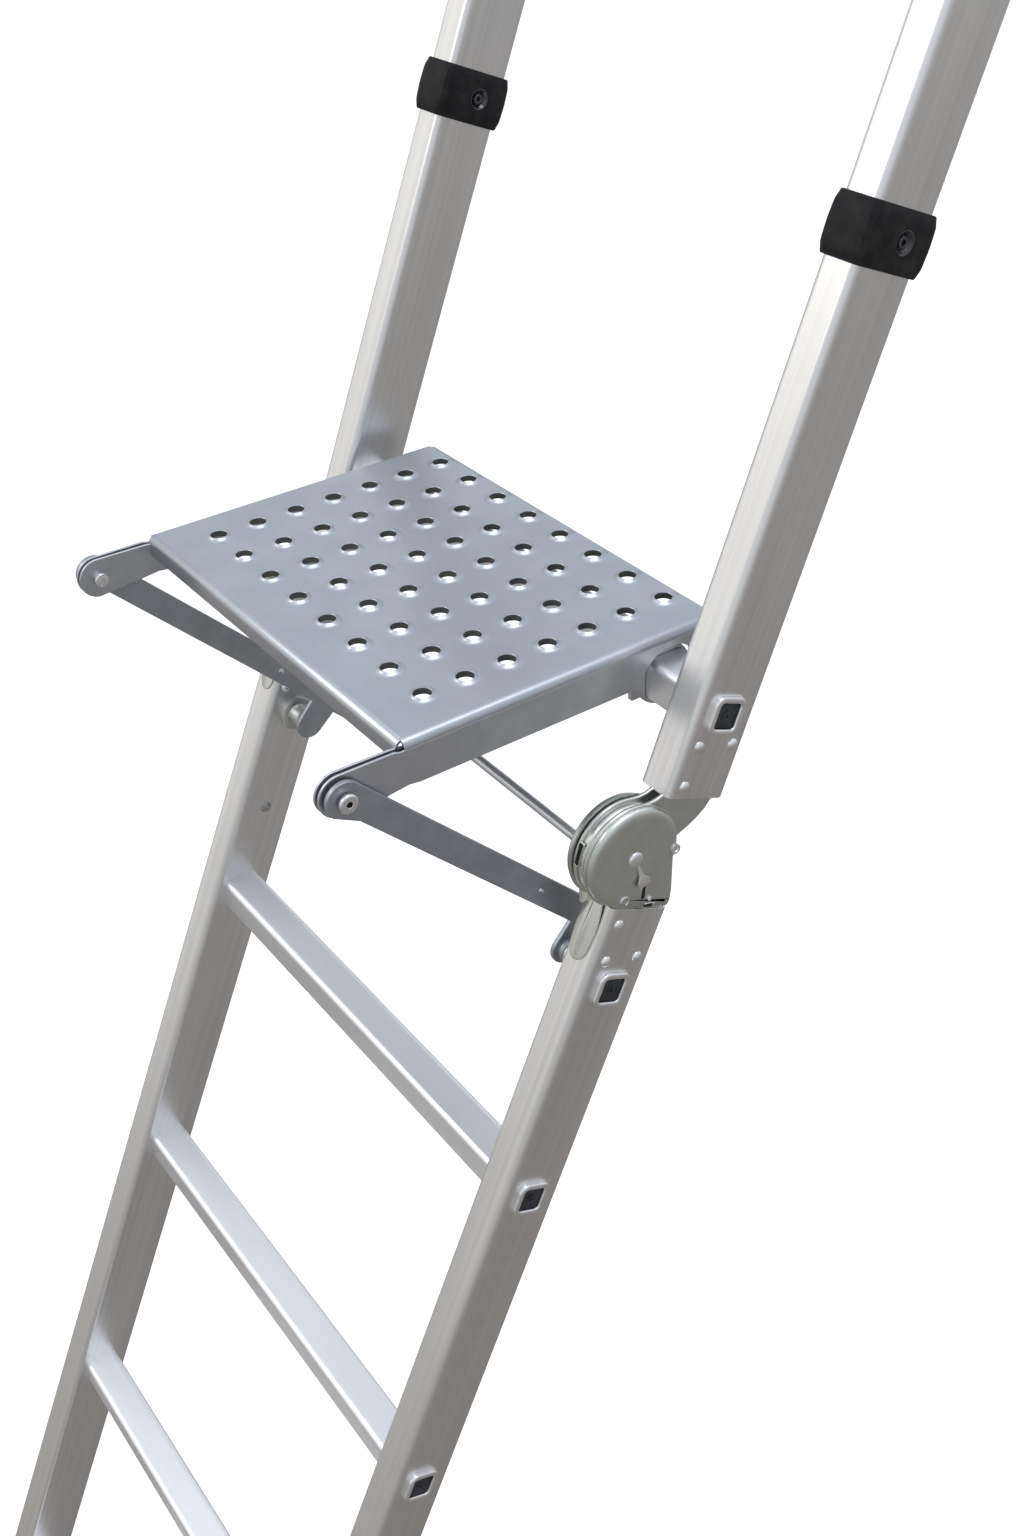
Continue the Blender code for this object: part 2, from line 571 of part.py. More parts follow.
def add_platform_fittings(deck):
    half = DECK_WIDTH / 2
    plates = []
    for side_name, side in SIDES.items():
        inner_x = sorted((side * (half - 0.007), side * (half - 0.005)))
        outline = (
            arc((EAR_Y, -EAR_DROP), EAR_RADIUS - 0.001, 90, 270, 8)
            + [(DECK_FRONT + 0.07, -0.033), (DECK_FRONT + 0.085, -0.02), (DECK_FRONT + 0.07, -0.0185)]
            + [(DECK_FRONT + 0.001, -0.0185), (DECK_FRONT - 0.006, -EAR_DROP + EAR_RADIUS - 0.001)]
        )
        layer = sideways([outline], *inner_x)
        plate = add_world_piece(f"ear_plate_{side_name}", layer, PLATFORM, STRUT_STEEL)
        plates.append(plate)

        hook_x = sorted((side * (half - 0.0065), side * (half - DECK_SHEET - GAP)))
        legs = BUSH_RADIUS + 0.0075
        opening = BUSH_RADIUS + 2 * GAP
        hook_outline = (
            [(RUNG_AXIS.y - legs, -0.0065), (RUNG_AXIS.y - legs, RUNG_AXIS.z - 0.008)]
            + [(RUNG_AXIS.y - opening, RUNG_AXIS.z - 0.008)]
            + arc((RUNG_AXIS.y, RUNG_AXIS.z), opening, 180, 0, 10)
            + [(RUNG_AXIS.y + opening, RUNG_AXIS.z - 0.008), (RUNG_AXIS.y + legs, RUNG_AXIS.z - 0.008)]
            + [(RUNG_AXIS.y + legs, -0.0065)]
        )
        hook = sideways([hook_outline], *hook_x)
        add_world_piece(f"platform_hook_{side_name}", hook, PLATFORM, DECK_STEEL)

        bush_x = sorted((side * (half - 0.012), side * (half + 0.0015)))
        bush_outlines = [circle((0, 0), BUSH_RADIUS, 24), rung_outline(GAP)]
        bush = add_object(f"rung_bush_{side_name}", sideways(bush_outlines, *bush_x), UPPER, NYLON)
        place_on_rung_line(bush, UPPER, UPPER_FRONT, PLATFORM_RUNG)

        centre = (EAR_Y, -EAR_DROP)
        shank_x = sorted((side * (half - 0.012), side * (STRUT_X + STRUT_THICKNESS + 0.002)))
        shank = sideways([circle(centre, EAR_BOLT_RADIUS, 12)], *shank_x)
        bolt = add_world_piece(f"ear_bolt_{side_name}", shank, PLATFORM, ZINC)
        strut_face = STRUT_X + STRUT_THICKNESS
        head_x = sorted((side * (strut_face + GAP), side * (strut_face + 0.0045)))
        nut_x = sorted((side * (half - 0.0115), side * (half - 0.0073)))
        fuse(bolt, sideways([circle(centre, 0.008)], *head_x), None)
        fuse(bolt, sideways([circle(centre, 0.0075, 6)], *nut_x), None)
    shaft = sideways([circle((EAR_Y, -EAR_DROP), EAR_BOLT_RADIUS + GAP, 12)], -WIDTH, WIDTH)
    cut([deck] + plates, shaft, None, "ear_bolt_hole")


def strut_outline(length, slope):
    """A straight bar with a round ear end, a round foot below it at the anchor and a tail behind."""
    half = STRUT_WIDTH / 2
    start = math.degrees(slope) + 90

    def on_bar(along, across):
        return (
            along * math.cos(slope) - across * math.sin(slope),
            along * math.sin(slope) + across * math.cos(slope),
        )

    return (
        arc((0, 0), half, start, start + 180, 8)
        + [on_bar(length - 0.018, -half)]
        + arc((length, 0), STRUT_FOOT, 178, 320, 8)
        + [on_bar(length + 0.022, -half), on_bar(STRUT_TAIL - 0.008, -half)]
        + [on_bar(STRUT_TAIL, -half + 0.008), on_bar(STRUT_TAIL, half - 0.008)]
        + [on_bar(STRUT_TAIL - 0.008, half)]
    )


def add_struts():
    """Flat struts from the ears to the anchors, drawn along +Y from the ear bolt."""
    length = STRUT_LINE.length
    slope = -STRUT_SLOPE - math.atan2(STRUT_LINE.z, STRUT_LINE.y)
    hole = (STRUT_HOLE * math.cos(slope), STRUT_HOLE * math.sin(slope))
    for side_name, side in SIDES.items():
        bar_x = sorted((side * STRUT_X, side * (STRUT_X + STRUT_THICKNESS)))
        bar = sideways([strut_outline(length, slope)], *bar_x)
        strut = add_object(f"strut_{side_name}", bar, STRUT, STRUT_STEEL)
        boss_x = sorted((side * (STRUT_X + 0.001), side * (BOSS_X - GAP)))
        fuse(strut, sideways([circle((length, 0), BOSS_RADIUS)], *boss_x), STRUT)
        holes = [circle((0, 0), EAR_BOLT_RADIUS + GAP), circle(hole, 0.0025, 8)]
        cut([strut], sideways(holes, -WIDTH, WIDTH), STRUT, "strut_holes")


# ---- the whole ladder --------------------------------------------------------------------------
def build():
    stiles = {
        name: add_stile(f"lower_stile_{name}", LOWER, side, -LOWER_FRONT, LOWER_END, LOWER_TOP)
        for name, side in SIDES.items()
    }
    posts = {
        name: add_stile(f"post_{name}", UPPER, side, UPPER_FRONT, POST_BOTTOM, POST_JOINT - GAP)
        for name, side in SIDES.items()
    }
    for number in range(RUNG_COUNT):
        along = FIRST_RUNG - number * RUNG_PITCH
        add_rung(f"lower_rung_{number + 1}", LOWER, -LOWER_FRONT, along, list(stiles.values()))
    add_rung("platform_rung", UPPER, UPPER_FRONT, PLATFORM_RUNG, list(posts.values()))
    inner_shells = []
    for name, side in SIDES.items():
        add_anchor(name, side, stiles[name])
        add_foot(name, side)
        inner_shells.append(add_hinge(name, side, stiles[name], posts[name])[1])
        add_post_top(name, side)
        centre = (RUNG_DEPTH - LOWER_FRONT, SPARE_HOLE)
        walls = sorted((side * (STILE_INNER - 0.005), side * (STILE_INNER + 0.01)))
        cut([stiles[name]], sideways([circle(centre, 0.005, 12)], *walls), LOWER, "spare_hole")
    add_release(inner_shells)
    add_platform_fittings(add_deck())
    add_struts()
    bpy.context.view_layer.update()


build()
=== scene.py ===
"""Folding attic ladder with a perforated platform: the surfaces and finishes around its frame.

Every shape is worked out in metres in the row frame: +X to the ladder's right, +Y away from
the climber, +Z up. A shape on a leaning stile is first drawn in the stile's own directions:
across (X), back (out of its back face) and up (along the stile).
"""

import logging  # noqa: E402
import math  # noqa: E402
from collections.abc import Sequence  # noqa: E402
from dataclasses import dataclass, field  # noqa: E402
from enum import Enum  # noqa: E402
from typing import Any  # noqa: E402

import bmesh  # noqa: E402
import bpy  # noqa: E402
import numpy as np  # noqa: E402
from mathutils import Euler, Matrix, Vector  # noqa: E402
from mathutils.geometry import tessellate_polygon  # noqa: E402


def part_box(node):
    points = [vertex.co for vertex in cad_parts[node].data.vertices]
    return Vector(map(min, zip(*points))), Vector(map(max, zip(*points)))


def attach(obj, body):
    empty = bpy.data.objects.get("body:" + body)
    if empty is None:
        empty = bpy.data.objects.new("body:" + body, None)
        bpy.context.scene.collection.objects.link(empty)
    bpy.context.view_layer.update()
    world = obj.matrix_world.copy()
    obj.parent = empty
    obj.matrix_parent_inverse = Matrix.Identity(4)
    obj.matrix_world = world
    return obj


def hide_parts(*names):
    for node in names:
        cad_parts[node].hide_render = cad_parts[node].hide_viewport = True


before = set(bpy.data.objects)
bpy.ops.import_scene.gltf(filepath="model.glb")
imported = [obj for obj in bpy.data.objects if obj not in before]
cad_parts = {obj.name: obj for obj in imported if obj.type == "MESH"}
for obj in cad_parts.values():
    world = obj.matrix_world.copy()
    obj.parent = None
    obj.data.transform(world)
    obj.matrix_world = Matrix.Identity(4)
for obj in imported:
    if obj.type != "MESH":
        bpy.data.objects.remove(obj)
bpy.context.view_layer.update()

log = logging.getLogger("attic_ladder")
Array = np.ndarray
Colour = tuple[float, float, float]

MM = 0.001
LOWER_LEAN = math.radians(65.6)
UPPER_LEAN = math.radians(67.6)


class Side(Enum):
    """The two sides of the ladder, with the sign of X."""

    LEFT = -1
    RIGHT = 1

    @property
    def word(self) -> str:
        """The side as it is written in a piece's name."""
        return self.name.lower()


class Body(Enum):
    """The bodies that pieces ride on."""

    LOWER = "lower_section"
    UPPER = "upper_section"
    PLATFORM = "platform"
    STRUT_LEFT = "strut_left"
    STRUT_RIGHT = "strut_right"
    RELEASE = "release"


# ---- places ------------------------------------------------------------------------------


@dataclass(frozen=True)
class Place:
    """A point in the row frame and three unit directions that shapes are drawn in."""

    origin: tuple[float, float, float]
    first: tuple[float, float, float]
    second: tuple[float, float, float]
    third: tuple[float, float, float]

    def to_row(self, points: Array) -> Array:
        """Row coordinates: the origin plus each local coordinate times its direction.

        Args:
            points: Local points, with the three coordinates last.

        Returns:
            The same points in the row frame.
        """
        return np.asarray(self.origin) + points @ np.array([self.first, self.second, self.third])


ACROSS = (1.0, 0.0, 0.0)
AWAY = (0.0, 1.0, 0.0)
UPWARD = (0.0, 0.0, 1.0)


def centre_of(node: str) -> tuple[float, float, float]:
    """The middle of a frame node's box."""
    low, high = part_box(node)
    return tuple((low + high) / 2)


def hinge_line() -> tuple[float, float, float]:
    """The fold axis where it crosses the ladder's middle plane."""
    pin = centre_of("hinge_pin_right")
    return (0.0, pin[1], pin[2])


def lean_directions(lean: float) -> tuple[tuple[float, float, float], tuple[float, float, float]]:
    """Unit directions out of a leaning stile's back face and up along it.

    Args:
        lean: The stile's angle above the floor, in radians.

    Returns:
        The back direction and the up direction.
    """
    sine, cosine = math.sin(lean), math.cos(lean)
    return (0.0, sine, -cosine), (0.0, cosine, sine)


def stile_place(lean: float) -> Place:
    """Local (across, back, up) at the fold axis, for sections carried along a stile."""
    back, up = lean_directions(lean)
    return Place(hinge_line(), ACROSS, back, up)


def side_place(lean: float, side: Side) -> Place:
    """Local (back, up, outwards) at the fold axis, for plates that face sideways."""
    back, up = lean_directions(lean)
    return Place(hinge_line(), back, up, (float(side.value), 0.0, 0.0))


# ---- flat shapes -------------------------------------------------------------------------


def circle(centre: Sequence[float], radius: float, count: int = 48) -> Array:
    """Points centre + radius (cos a, sin a) for evenly spaced angles a.

    Args:
        centre: The middle of the circle.
        radius: Its radius.
        count: How many points it has.

    Returns:
        The points, one a row.
    """
    angle = np.arange(count) * 2 * np.pi / count
    return np.asarray(centre, float) + radius * np.stack([np.cos(angle), np.sin(angle)], 1)


def arc(centre: Sequence[float], radius: float, start: float, end: float, count: int) -> Array:
    """Points centre + radius (cos a, sin a), with a going evenly from start to end in degrees.

    Args:
        centre: The middle of the arc.
        radius: Its radius.
        start: The first angle.
        end: The last angle.
        count: How many points it has.

    Returns:
        The points, one a row.
    """
    angle = np.radians(np.linspace(start, end, count))
    return np.asarray(centre, float) + radius * np.stack([np.cos(angle), np.sin(angle)], 1)


def rounded(corners: Sequence[Sequence[float]], radius: float | Sequence[float], count: int = 6) -> Array:
    """A closed polygon with its corners turned into circular arcs.

    Each arc from A to C with the corner P between them is the conic
    ((1-t)^2 A + 2 w t (1-t) P + t^2 C) / ((1-t)^2 + 2 w t (1-t) + t^2), where w is the sine of
    half the corner's angle. One more point just outside each end of an arc keeps the straight
    sides flat where they are shaded smooth.

    Args:
        corners: The polygon's corners in order.
        radius: One radius, or one for each corner.
        count: Steps in each arc.

    Returns:
        The points of the outline.
    """
    corner = np.asarray(corners, float)
    before = np.roll(corner, 1, 0) - corner
    after = np.roll(corner, -1, 0) - corner
    before /= np.linalg.norm(before, axis=1, keepdims=True)
    after /= np.linalg.norm(after, axis=1, keepdims=True)
    half = np.arccos(np.clip((before * after).sum(1), -0.9999, 0.9999)) / 2
    reach = (np.broadcast_to(radius, half.shape) / np.tan(half))[:, None]
    weight = np.sin(half)[:, None, None]
    start, end = corner + before * reach, corner + after * reach
    t = np.linspace(0, 1, count + 1)[None, :, None]
    top = (1 - t) ** 2 * start[:, None] + 2 * weight * t * (1 - t) * corner[:, None] + t**2 * end[:, None]
    bottom = (1 - t) ** 2 + 2 * weight * t * (1 - t) + t**2
    lead = 0.25 * MM
    rows = [(start + before * lead)[:, None], top / bottom, (end + after * lead)[:, None]]
    return np.concatenate(rows, 1).reshape(-1, 2)


def rounded_box(centre: Sequence[float], size: Sequence[float], radius: float, count: int = 6) -> Array:
    """A rectangle with round corners.

    Args:
        centre: Its middle.
        size: Its two sides.
        radius: The radius of its corners.
        count: Steps in each corner.

    Returns:
        The points of the outline.
    """
    u, v = size[0] / 2, size[1] / 2
    corners = np.array([(u, -v), (u, v), (-u, v), (-u, -v)]) + np.asarray(centre, float)
    return rounded(corners, radius, count)


def outward(outline: Array) -> Array:
    """Mitred normals out of a closed outline: the sum of both sides' normals over 1 + their product.

    Args:
        outline: The outline's points.

    Returns:
        One vector a point, as long as keeps both sides at the same distance.
    """
    edge = np.roll(outline, -1, 0) - outline
    edge /= np.maximum(np.linalg.norm(edge, axis=1, keepdims=True), 1e-12)
    normal = np.stack([edge[:, 1], -edge[:, 0]], 1)
    before = np.roll(normal, 1, 0)
    product = (normal * before).sum(1, keepdims=True)
    following = np.roll(outline, -1, 0)
    area = (outline[:, 0] * following[:, 1] - outline[:, 1] * following[:, 0]).sum()
    return (normal + before) / np.maximum(1 + product, 0.3) * (1 if area > 0 else -1)


def rim(low: float, high: float, radius: float, steps: int = 3) -> Array:
    """The edge of a plate as (inset, height): a quarter circle, the straight edge, a quarter circle.

    Args:
        low: The plate's lower face.
        high: Its upper face.
        radius: How round the edges are.
        steps: Steps in each quarter.

    Returns:
        The pairs from the lower face to the upper face, a little way onto both.
    """
    angle = np.linspace(0, np.pi / 2, steps + 1)
    inset, rise = radius * (1 - np.sin(angle)), radius * (1 - np.cos(angle))
    under = np.stack([inset, low + rise], 1)
    over = np.stack([inset, high - rise], 1)[::-1]
    margin = radius + 0.2 * MM
    return np.vstack([[margin, low], under, over, [margin, high]])


# ---- meshes ------------------------------------------------------------------------------


def raised(rows: Sequence[Sequence[float]], base: float, toward: int = 1) -> Array:
    """Rows of (radius or inset, rise) in millimetres as metres, with each rise counted from a base.

    Args:
        rows: The rows.
        base: The height that a rise of 0 has, in metres.
        toward: 1 where the rises go up, -1 where they go down.

    Returns:
        The rows in metres: (first, base + toward * rise).
    """
    return np.array(rows) * [MM, toward * MM] + [0.0, base]


@dataclass
class Skin:
    """Gathers the surfaces of one piece and turns them into an object."""

    name: str
    points: list[Array] = field(default_factory=list)
    faces: list[list[int]] = field(default_factory=list)
    slots: list[int] = field(default_factory=list)
    count: int = 0

    def add(self, points: Array, faces: Array, slot: int) -> None:
        """Adds points and the faces between them.

        Args:
            points: Row coordinates, one point a row.
            faces: Corner numbers within those points, one face a row.
            slot: The finish the faces have, as a place in the piece's list.
        """
        self.points.append(points)
        self.faces.extend((faces + self.count).tolist())
        self.slots.extend([slot] * len(faces))
        self.count += len(points)

    def grid(self, points: Array, wrap: bool = True, slot: int = 0) -> None:
        """Adds the quads between neighbouring rows and columns of a grid of points.

        Args:
            points: Rows by columns by three coordinates.
            wrap: Whether the last column meets the first.
            slot: The finish of the faces.
        """
        rows, columns = points.shape[:2]
        number = np.arange(rows * columns).reshape(rows, columns)
        here, there = number, np.roll(number, -1, 1)
        if not wrap:
            here, there = here[:, :-1], there[:, :-1]
        quads = np.stack([here[:-1], there[:-1], there[1:], here[1:]], -1).reshape(-1, 4)
        self.add(points.reshape(-1, 3), quads, slot)

    def cap(self, place: Place, loops: Sequence[Array], height: float, slot: int = 0) -> None:
        """Adds the flat face inside the first loop and outside the others.

        Args:
            place: The directions that the loops are drawn in.
            loops: Closed outlines.
            height: Their third coordinate.
            slot: The finish of the face.
        """
        flat = [np.column_stack([loop, np.zeros(len(loop))]) for loop in loops]
        triangles = tessellate_polygon([list(map(Vector, loop.tolist())) for loop in flat])
        points = np.concatenate(flat)
        points[:, 2] = height
        self.add(place.to_row(points), np.array(triangles, int).reshape(-1, 3), slot)

    def slab(self, place: Place, outlines: Sequence[Array], edges: Sequence[Array], slot: int = 0) -> None:
        """Adds a plate: every point of an edge is the outline moved inwards by an inset, at a height.

        Args:
            place: The directions it is drawn in.
            outlines: The outline and then any holes.
            edges: For each outline, its (inset, height) pairs from the lower to the upper face.
            slot: The finish of the plate.
        """
        first, last = [], []
        for number, (outline, edge) in enumerate(zip(outlines, edges)):
            away = outward(outline) * (-1 if number else 1)
            ring = outline[None] - edge[:, 0, None, None] * away[None]
            height = np.broadcast_to(edge[:, 1, None, None], (*ring.shape[:2], 1))
            self.grid(place.to_row(np.concatenate([ring, height], 2)), slot=slot)
            first.append(ring[0])
            last.append(ring[-1])
        self.cap(place, first, float(edges[0][0, 1]), slot)
        self.cap(place, last, float(edges[0][-1, 1]), slot)

    def turned(
        self, place: Place, profile: Sequence[Sequence[float]] | Array, count: int = 40, slot: int = 0
    ) -> None:
        """Adds a turned shape: (radius cos a, radius sin a, height) for each (radius, height) pair.

        Args:
            place: Its axis is the third direction.
            profile: The pairs, from and to the axis.
            count: Steps round the axis.
            slot: The finish of the shape.
        """
        pair = np.asarray(profile, float)
        angle = np.arange(count) * 2 * np.pi / count
        radius, height = pair[:, 0, None], np.broadcast_to(pair[:, 1, None], (len(pair), count))
        ring = np.stack([radius * np.cos(angle), radius * np.sin(angle), height], -1)
        self.grid(place.to_row(ring), slot=slot)

    def ribbon(self, place: Place, line: Array, width: Array, thickness: float, slot: int = 0) -> None:
        """Adds a bent strip: a thin rectangle with cut corners carried along a line.

        Its width lies along the place's first direction turned with the line in the plane, and
        its thickness along the cross product of the line's direction and the width.

        Args:
            place: The directions the line is drawn in.
            line: Points of the middle line.
            width: The strip's width at each point.
            thickness: Its thickness.
            slot: The finish of the strip.
        """
        direction = np.gradient(line, axis=0)
        direction /= np.linalg.norm(direction, axis=1, keepdims=True)
        flat = np.column_stack([direction[:, 1], -direction[:, 0], np.zeros(len(line))])
        flat /= np.maximum(np.linalg.norm(flat, axis=1, keepdims=True), 1e-9)
        normal = np.cross(direction, flat)
        cut = thickness * 0.3
        wide = width[:, None] / 2
        thick = thickness / 2
        across = np.hstack([wide - cut, wide, wide, wide - cut, cut - wide, -wide, -wide, cut - wide])
        through = np.array([-thick, cut - thick, thick - cut, thick, thick, thick - cut, cut - thick, -thick])
        ring = line[:, None] + across[..., None] * flat[:, None] + through[None, :, None] * normal[:, None]
        self.grid(place.to_row(ring), slot=slot)
        ends = np.stack([ring[0], ring[-1]])
        self.add(place.to_row(ends.reshape(-1, 3)), np.arange(16).reshape(2, 8), slot)

    def build(
        self,
        finishes: Sequence[bpy.types.Material],
        body: Body | str,
        replaces: Sequence[str] = (),
        slot: str | None = None,
        sharp: float = 38.0,
    ) -> bpy.types.Object:
        """Makes the object, merges its seams, turns its faces outwards and puts it on its body.

        Args:
            finishes: The piece's materials.
            body: The body it rides on.
            replaces: The frame nodes that it stands for.
            slot: Not used.
            sharp: Edges that turn by more degrees than this stay sharp.

        Returns:
            The object.
        """
        mesh = bpy.data.meshes.new(self.name)
        mesh.from_pydata(np.concatenate(self.points).tolist(), [], self.faces)
        mesh.polygons.foreach_set("material_index", self.slots)
        for finish in finishes:
            mesh.materials.append(finish)
        work = bmesh.new()
        work.from_mesh(mesh)
        bmesh.ops.remove_doubles(work, verts=work.verts, dist=2e-6)
        bmesh.ops.dissolve_degenerate(work, edges=work.edges, dist=1e-7)
        bmesh.ops.recalc_face_normals(work, faces=work.faces)
        work.to_mesh(mesh)
        work.free()
        mesh.shade_smooth()
        mesh.set_sharp_from_angle(angle=math.radians(sharp))
        made = bpy.data.objects.new(self.name, mesh)
        bpy.context.scene.collection.objects.link(made)
        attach(made, body.value if isinstance(body, Body) else body)
        if replaces:
            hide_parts(*replaces)
        log.info("%s: %d faces on %s", self.name, len(mesh.polygons), body)
        return made


def carve(target: bpy.types.Object, drill: Skin) -> None:
    """Takes a closed shape out of a piece.

    Args:
        target: The piece.
        drill: The shape, still without an object.
    """
    mesh = bpy.data.meshes.new("drill")
    mesh.from_pydata(np.concatenate(drill.points).tolist(), [], drill.faces)
    work = bmesh.new()
    work.from_mesh(mesh)
    bmesh.ops.remove_doubles(work, verts=work.verts, dist=2e-6)
    bmesh.ops.recalc_face_normals(work, faces=work.faces)
    work.to_mesh(mesh)
    work.free()
    tool = bpy.data.objects.new("drill", mesh)
    bpy.context.scene.collection.objects.link(tool)
    cut = target.modifiers.new("cut", "BOOLEAN")
    cut.object, cut.operation, cut.solver = tool, "DIFFERENCE", "EXACT"
    shape = bpy.data.meshes.new_from_object(target.evaluated_get(bpy.context.evaluated_depsgraph_get()))
    target.modifiers.clear()
    shape.name = target.name
    target.data = shape
    bpy.data.objects.remove(tool)


# ---- shaders -----------------------------------------------------------------------------


@dataclass(frozen=True)
class Value:
    """A number that varies over a surface; arithmetic on it adds Math nodes."""

    nodes: "Nodes"
    socket: bpy.types.NodeSocket

    def math(self, operation: str, first: Any, second: Any) -> "Value":
        """One Math node.

        Args:
            operation: What it does.
            first: Its first number.
            second: Its second number.

        Returns:
            The result.
        """
        made = self.nodes.node("ShaderNodeMath", {"operation": operation}, {0: first, 1: second})
        return Value(self.nodes, made.outputs[0])

    def __add__(self, other: Any) -> "Value":
        """self + other."""
        return self.math("ADD", self, other)

    def __radd__(self, other: Any) -> "Value":
        """other + self."""
        return self.math("ADD", other, self)

    def __sub__(self, other: Any) -> "Value":
        """self - other."""
        return self.math("SUBTRACT", self, other)

    def __rsub__(self, other: Any) -> "Value":
        """other - self."""
        return self.math("SUBTRACT", other, self)

    def __mul__(self, other: Any) -> "Value":
        """self * other."""
        return self.math("MULTIPLY", self, other)

    def __rmul__(self, other: Any) -> "Value":
        """other * self."""
        return self.math("MULTIPLY", other, self)

    def band(self, low: float, high: float) -> "Value":
        """0 below low and 1 above high, smooth between them."""
        made = self.nodes.node(
            "ShaderNodeMapRange",
            {"interpolation_type": "SMOOTHSTEP"},
            {"Value": self, "From Min": low, "From Max": high, "To Min": 0.0, "To Max": 1.0},
        )
        return Value(self.nodes, made.outputs[0])


@dataclass(frozen=True)
class Nodes:
    """The node tree of a material or of the world."""

    tree: bpy.types.NodeTree

    def node(
        self, kind: str, settings: dict[str, Any] | None = None, sockets: dict | None = None
    ) -> bpy.types.Node:
        """Adds a node: its settings are set first, and then the values or links of its sockets.

        Args:
            kind: The node's type.
            settings: Its properties; "stops" holds a ramp's (position, colour) pairs.
            sockets: Numbers, colours, Values or sockets by socket name or number.

        Returns:
            The node.
        """
        made = self.tree.nodes.new(kind)
        for key, value in (settings or {}).items():
            if key == "stops":
                self.set_stops(made.color_ramp, value)
            else:
                setattr(made, key, value)
        for key, value in (sockets or {}).items():
            socket = made.inputs[key]
            if isinstance(value, Value):
                self.tree.links.new(value.socket, socket)
            elif isinstance(value, bpy.types.NodeSocket):
                self.tree.links.new(value, socket)
            elif socket.type == "RGBA" and len(value) == 3:
                socket.default_value = (*value, 1.0)
            else:
                socket.default_value = value
        return made

    @staticmethod
    def set_stops(ramp: bpy.types.ColorRamp, stops: Sequence[tuple[float, Colour]]) -> None:
        """Gives a ramp its stops.

        Args:
            ramp: The ramp.
            stops: Positions with colours, in order.
        """
        while len(ramp.elements) < len(stops):
            ramp.elements.new(1.0)
        for element, (position, colour) in zip(ramp.elements, stops):
            element.position = position
            element.color = (*colour, 1.0)

    def value(self, kind: str, settings: dict[str, Any] | None = None, sockets: dict | None = None) -> Value:
        """Adds a node and returns its first output."""
        return Value(self, self.node(kind, settings, sockets).outputs[0])

    def noise(self, where: Any, scale: float, detail: float = 3.0, roughness: float = 0.55) -> Value:
        """Noise from 0 to 1.

        Args:
            where: The coordinates it is taken at.
            scale: How many cells in a unit.
            detail: How many finer layers are added.
            roughness: How strong these are.

        Returns:
            The noise.
        """
        return self.value(
            "ShaderNodeTexNoise",
            sockets={"Vector": where, "Scale": scale, "Detail": detail, "Roughness": roughness},
        )

    def mix(self, factor: Any, first: Any, second: Any) -> bpy.types.NodeSocket:
        """The first colour where factor is 0 and the second where it is 1."""
        made = self.node("ShaderNodeMix", {"data_type": "RGBA"}, {"Factor": factor, 6: first, 7: second})
        return made.outputs[2]

    def stretched(self, turn: Sequence[float], cell: Sequence[float]) -> bpy.types.NodeSocket:
        """Object coordinates turned into a piece's own directions and divided by a cell's size.

        Args:
            turn: Rotation about X, Y and Z that takes the axes to the piece's directions.
            cell: The pattern's size along each of these, in metres.

        Returns:
            The coordinates.
        """
        where = self.node("ShaderNodeTexCoord").outputs["Object"]
        made = self.node(
            "ShaderNodeMapping",
            {"vector_type": "TEXTURE"},
            {"Vector": where, "Rotation": turn, "Scale": cell},
        )
        return made.outputs[0]


@dataclass(frozen=True)
class Finish:
    """What every finish has: a name, two close colours, and how rough and metallic it is."""

    name: str
    colour: Colour
    shade: Colour
    roughness: float
    metallic: float = 1.0

    def start(self) -> tuple[bpy.types.Material, Nodes, bpy.types.Node]:
        """An empty material with its shader and output.

        Returns:
            The material, its nodes and its shader.
        """
        made = bpy.data.materials.new(self.name)
        made.use_nodes = True
        made.node_tree.nodes.clear()
        nodes = Nodes(made.node_tree)
        shader = nodes.node("ShaderNodeBsdfPrincipled", sockets={"Metallic": self.metallic})
        nodes.node("ShaderNodeOutputMaterial", sockets={"Surface": shader.outputs[0]})
        return made, nodes, shader

    def connect(
        self, nodes: Nodes, shader: bpy.types.Node, tint: Any, rough: Any, height: Value, depth: float
    ) -> None:
        """Links a finish's colour, roughness and surface height to its shader.

        Args:
            nodes: The material's nodes.
            shader: Its shader.
            tint: How far the colour is from the first to the second.
            rough: The roughness.
            height: The height of the surface, from 0 to 1.
            depth: What a height of 1 is in metres.
        """
        nodes.tree.links.new(nodes.mix(tint, self.colour, self.shade), shader.inputs["Base Color"])
        nodes.tree.links.new(rough.socket, shader.inputs["Roughness"])
        bump = nodes.node("ShaderNodeBump", sockets={"Strength": 1.0, "Distance": depth, "Height": height})
        nodes.tree.links.new(bump.outputs[0], shader.inputs["Normal"])


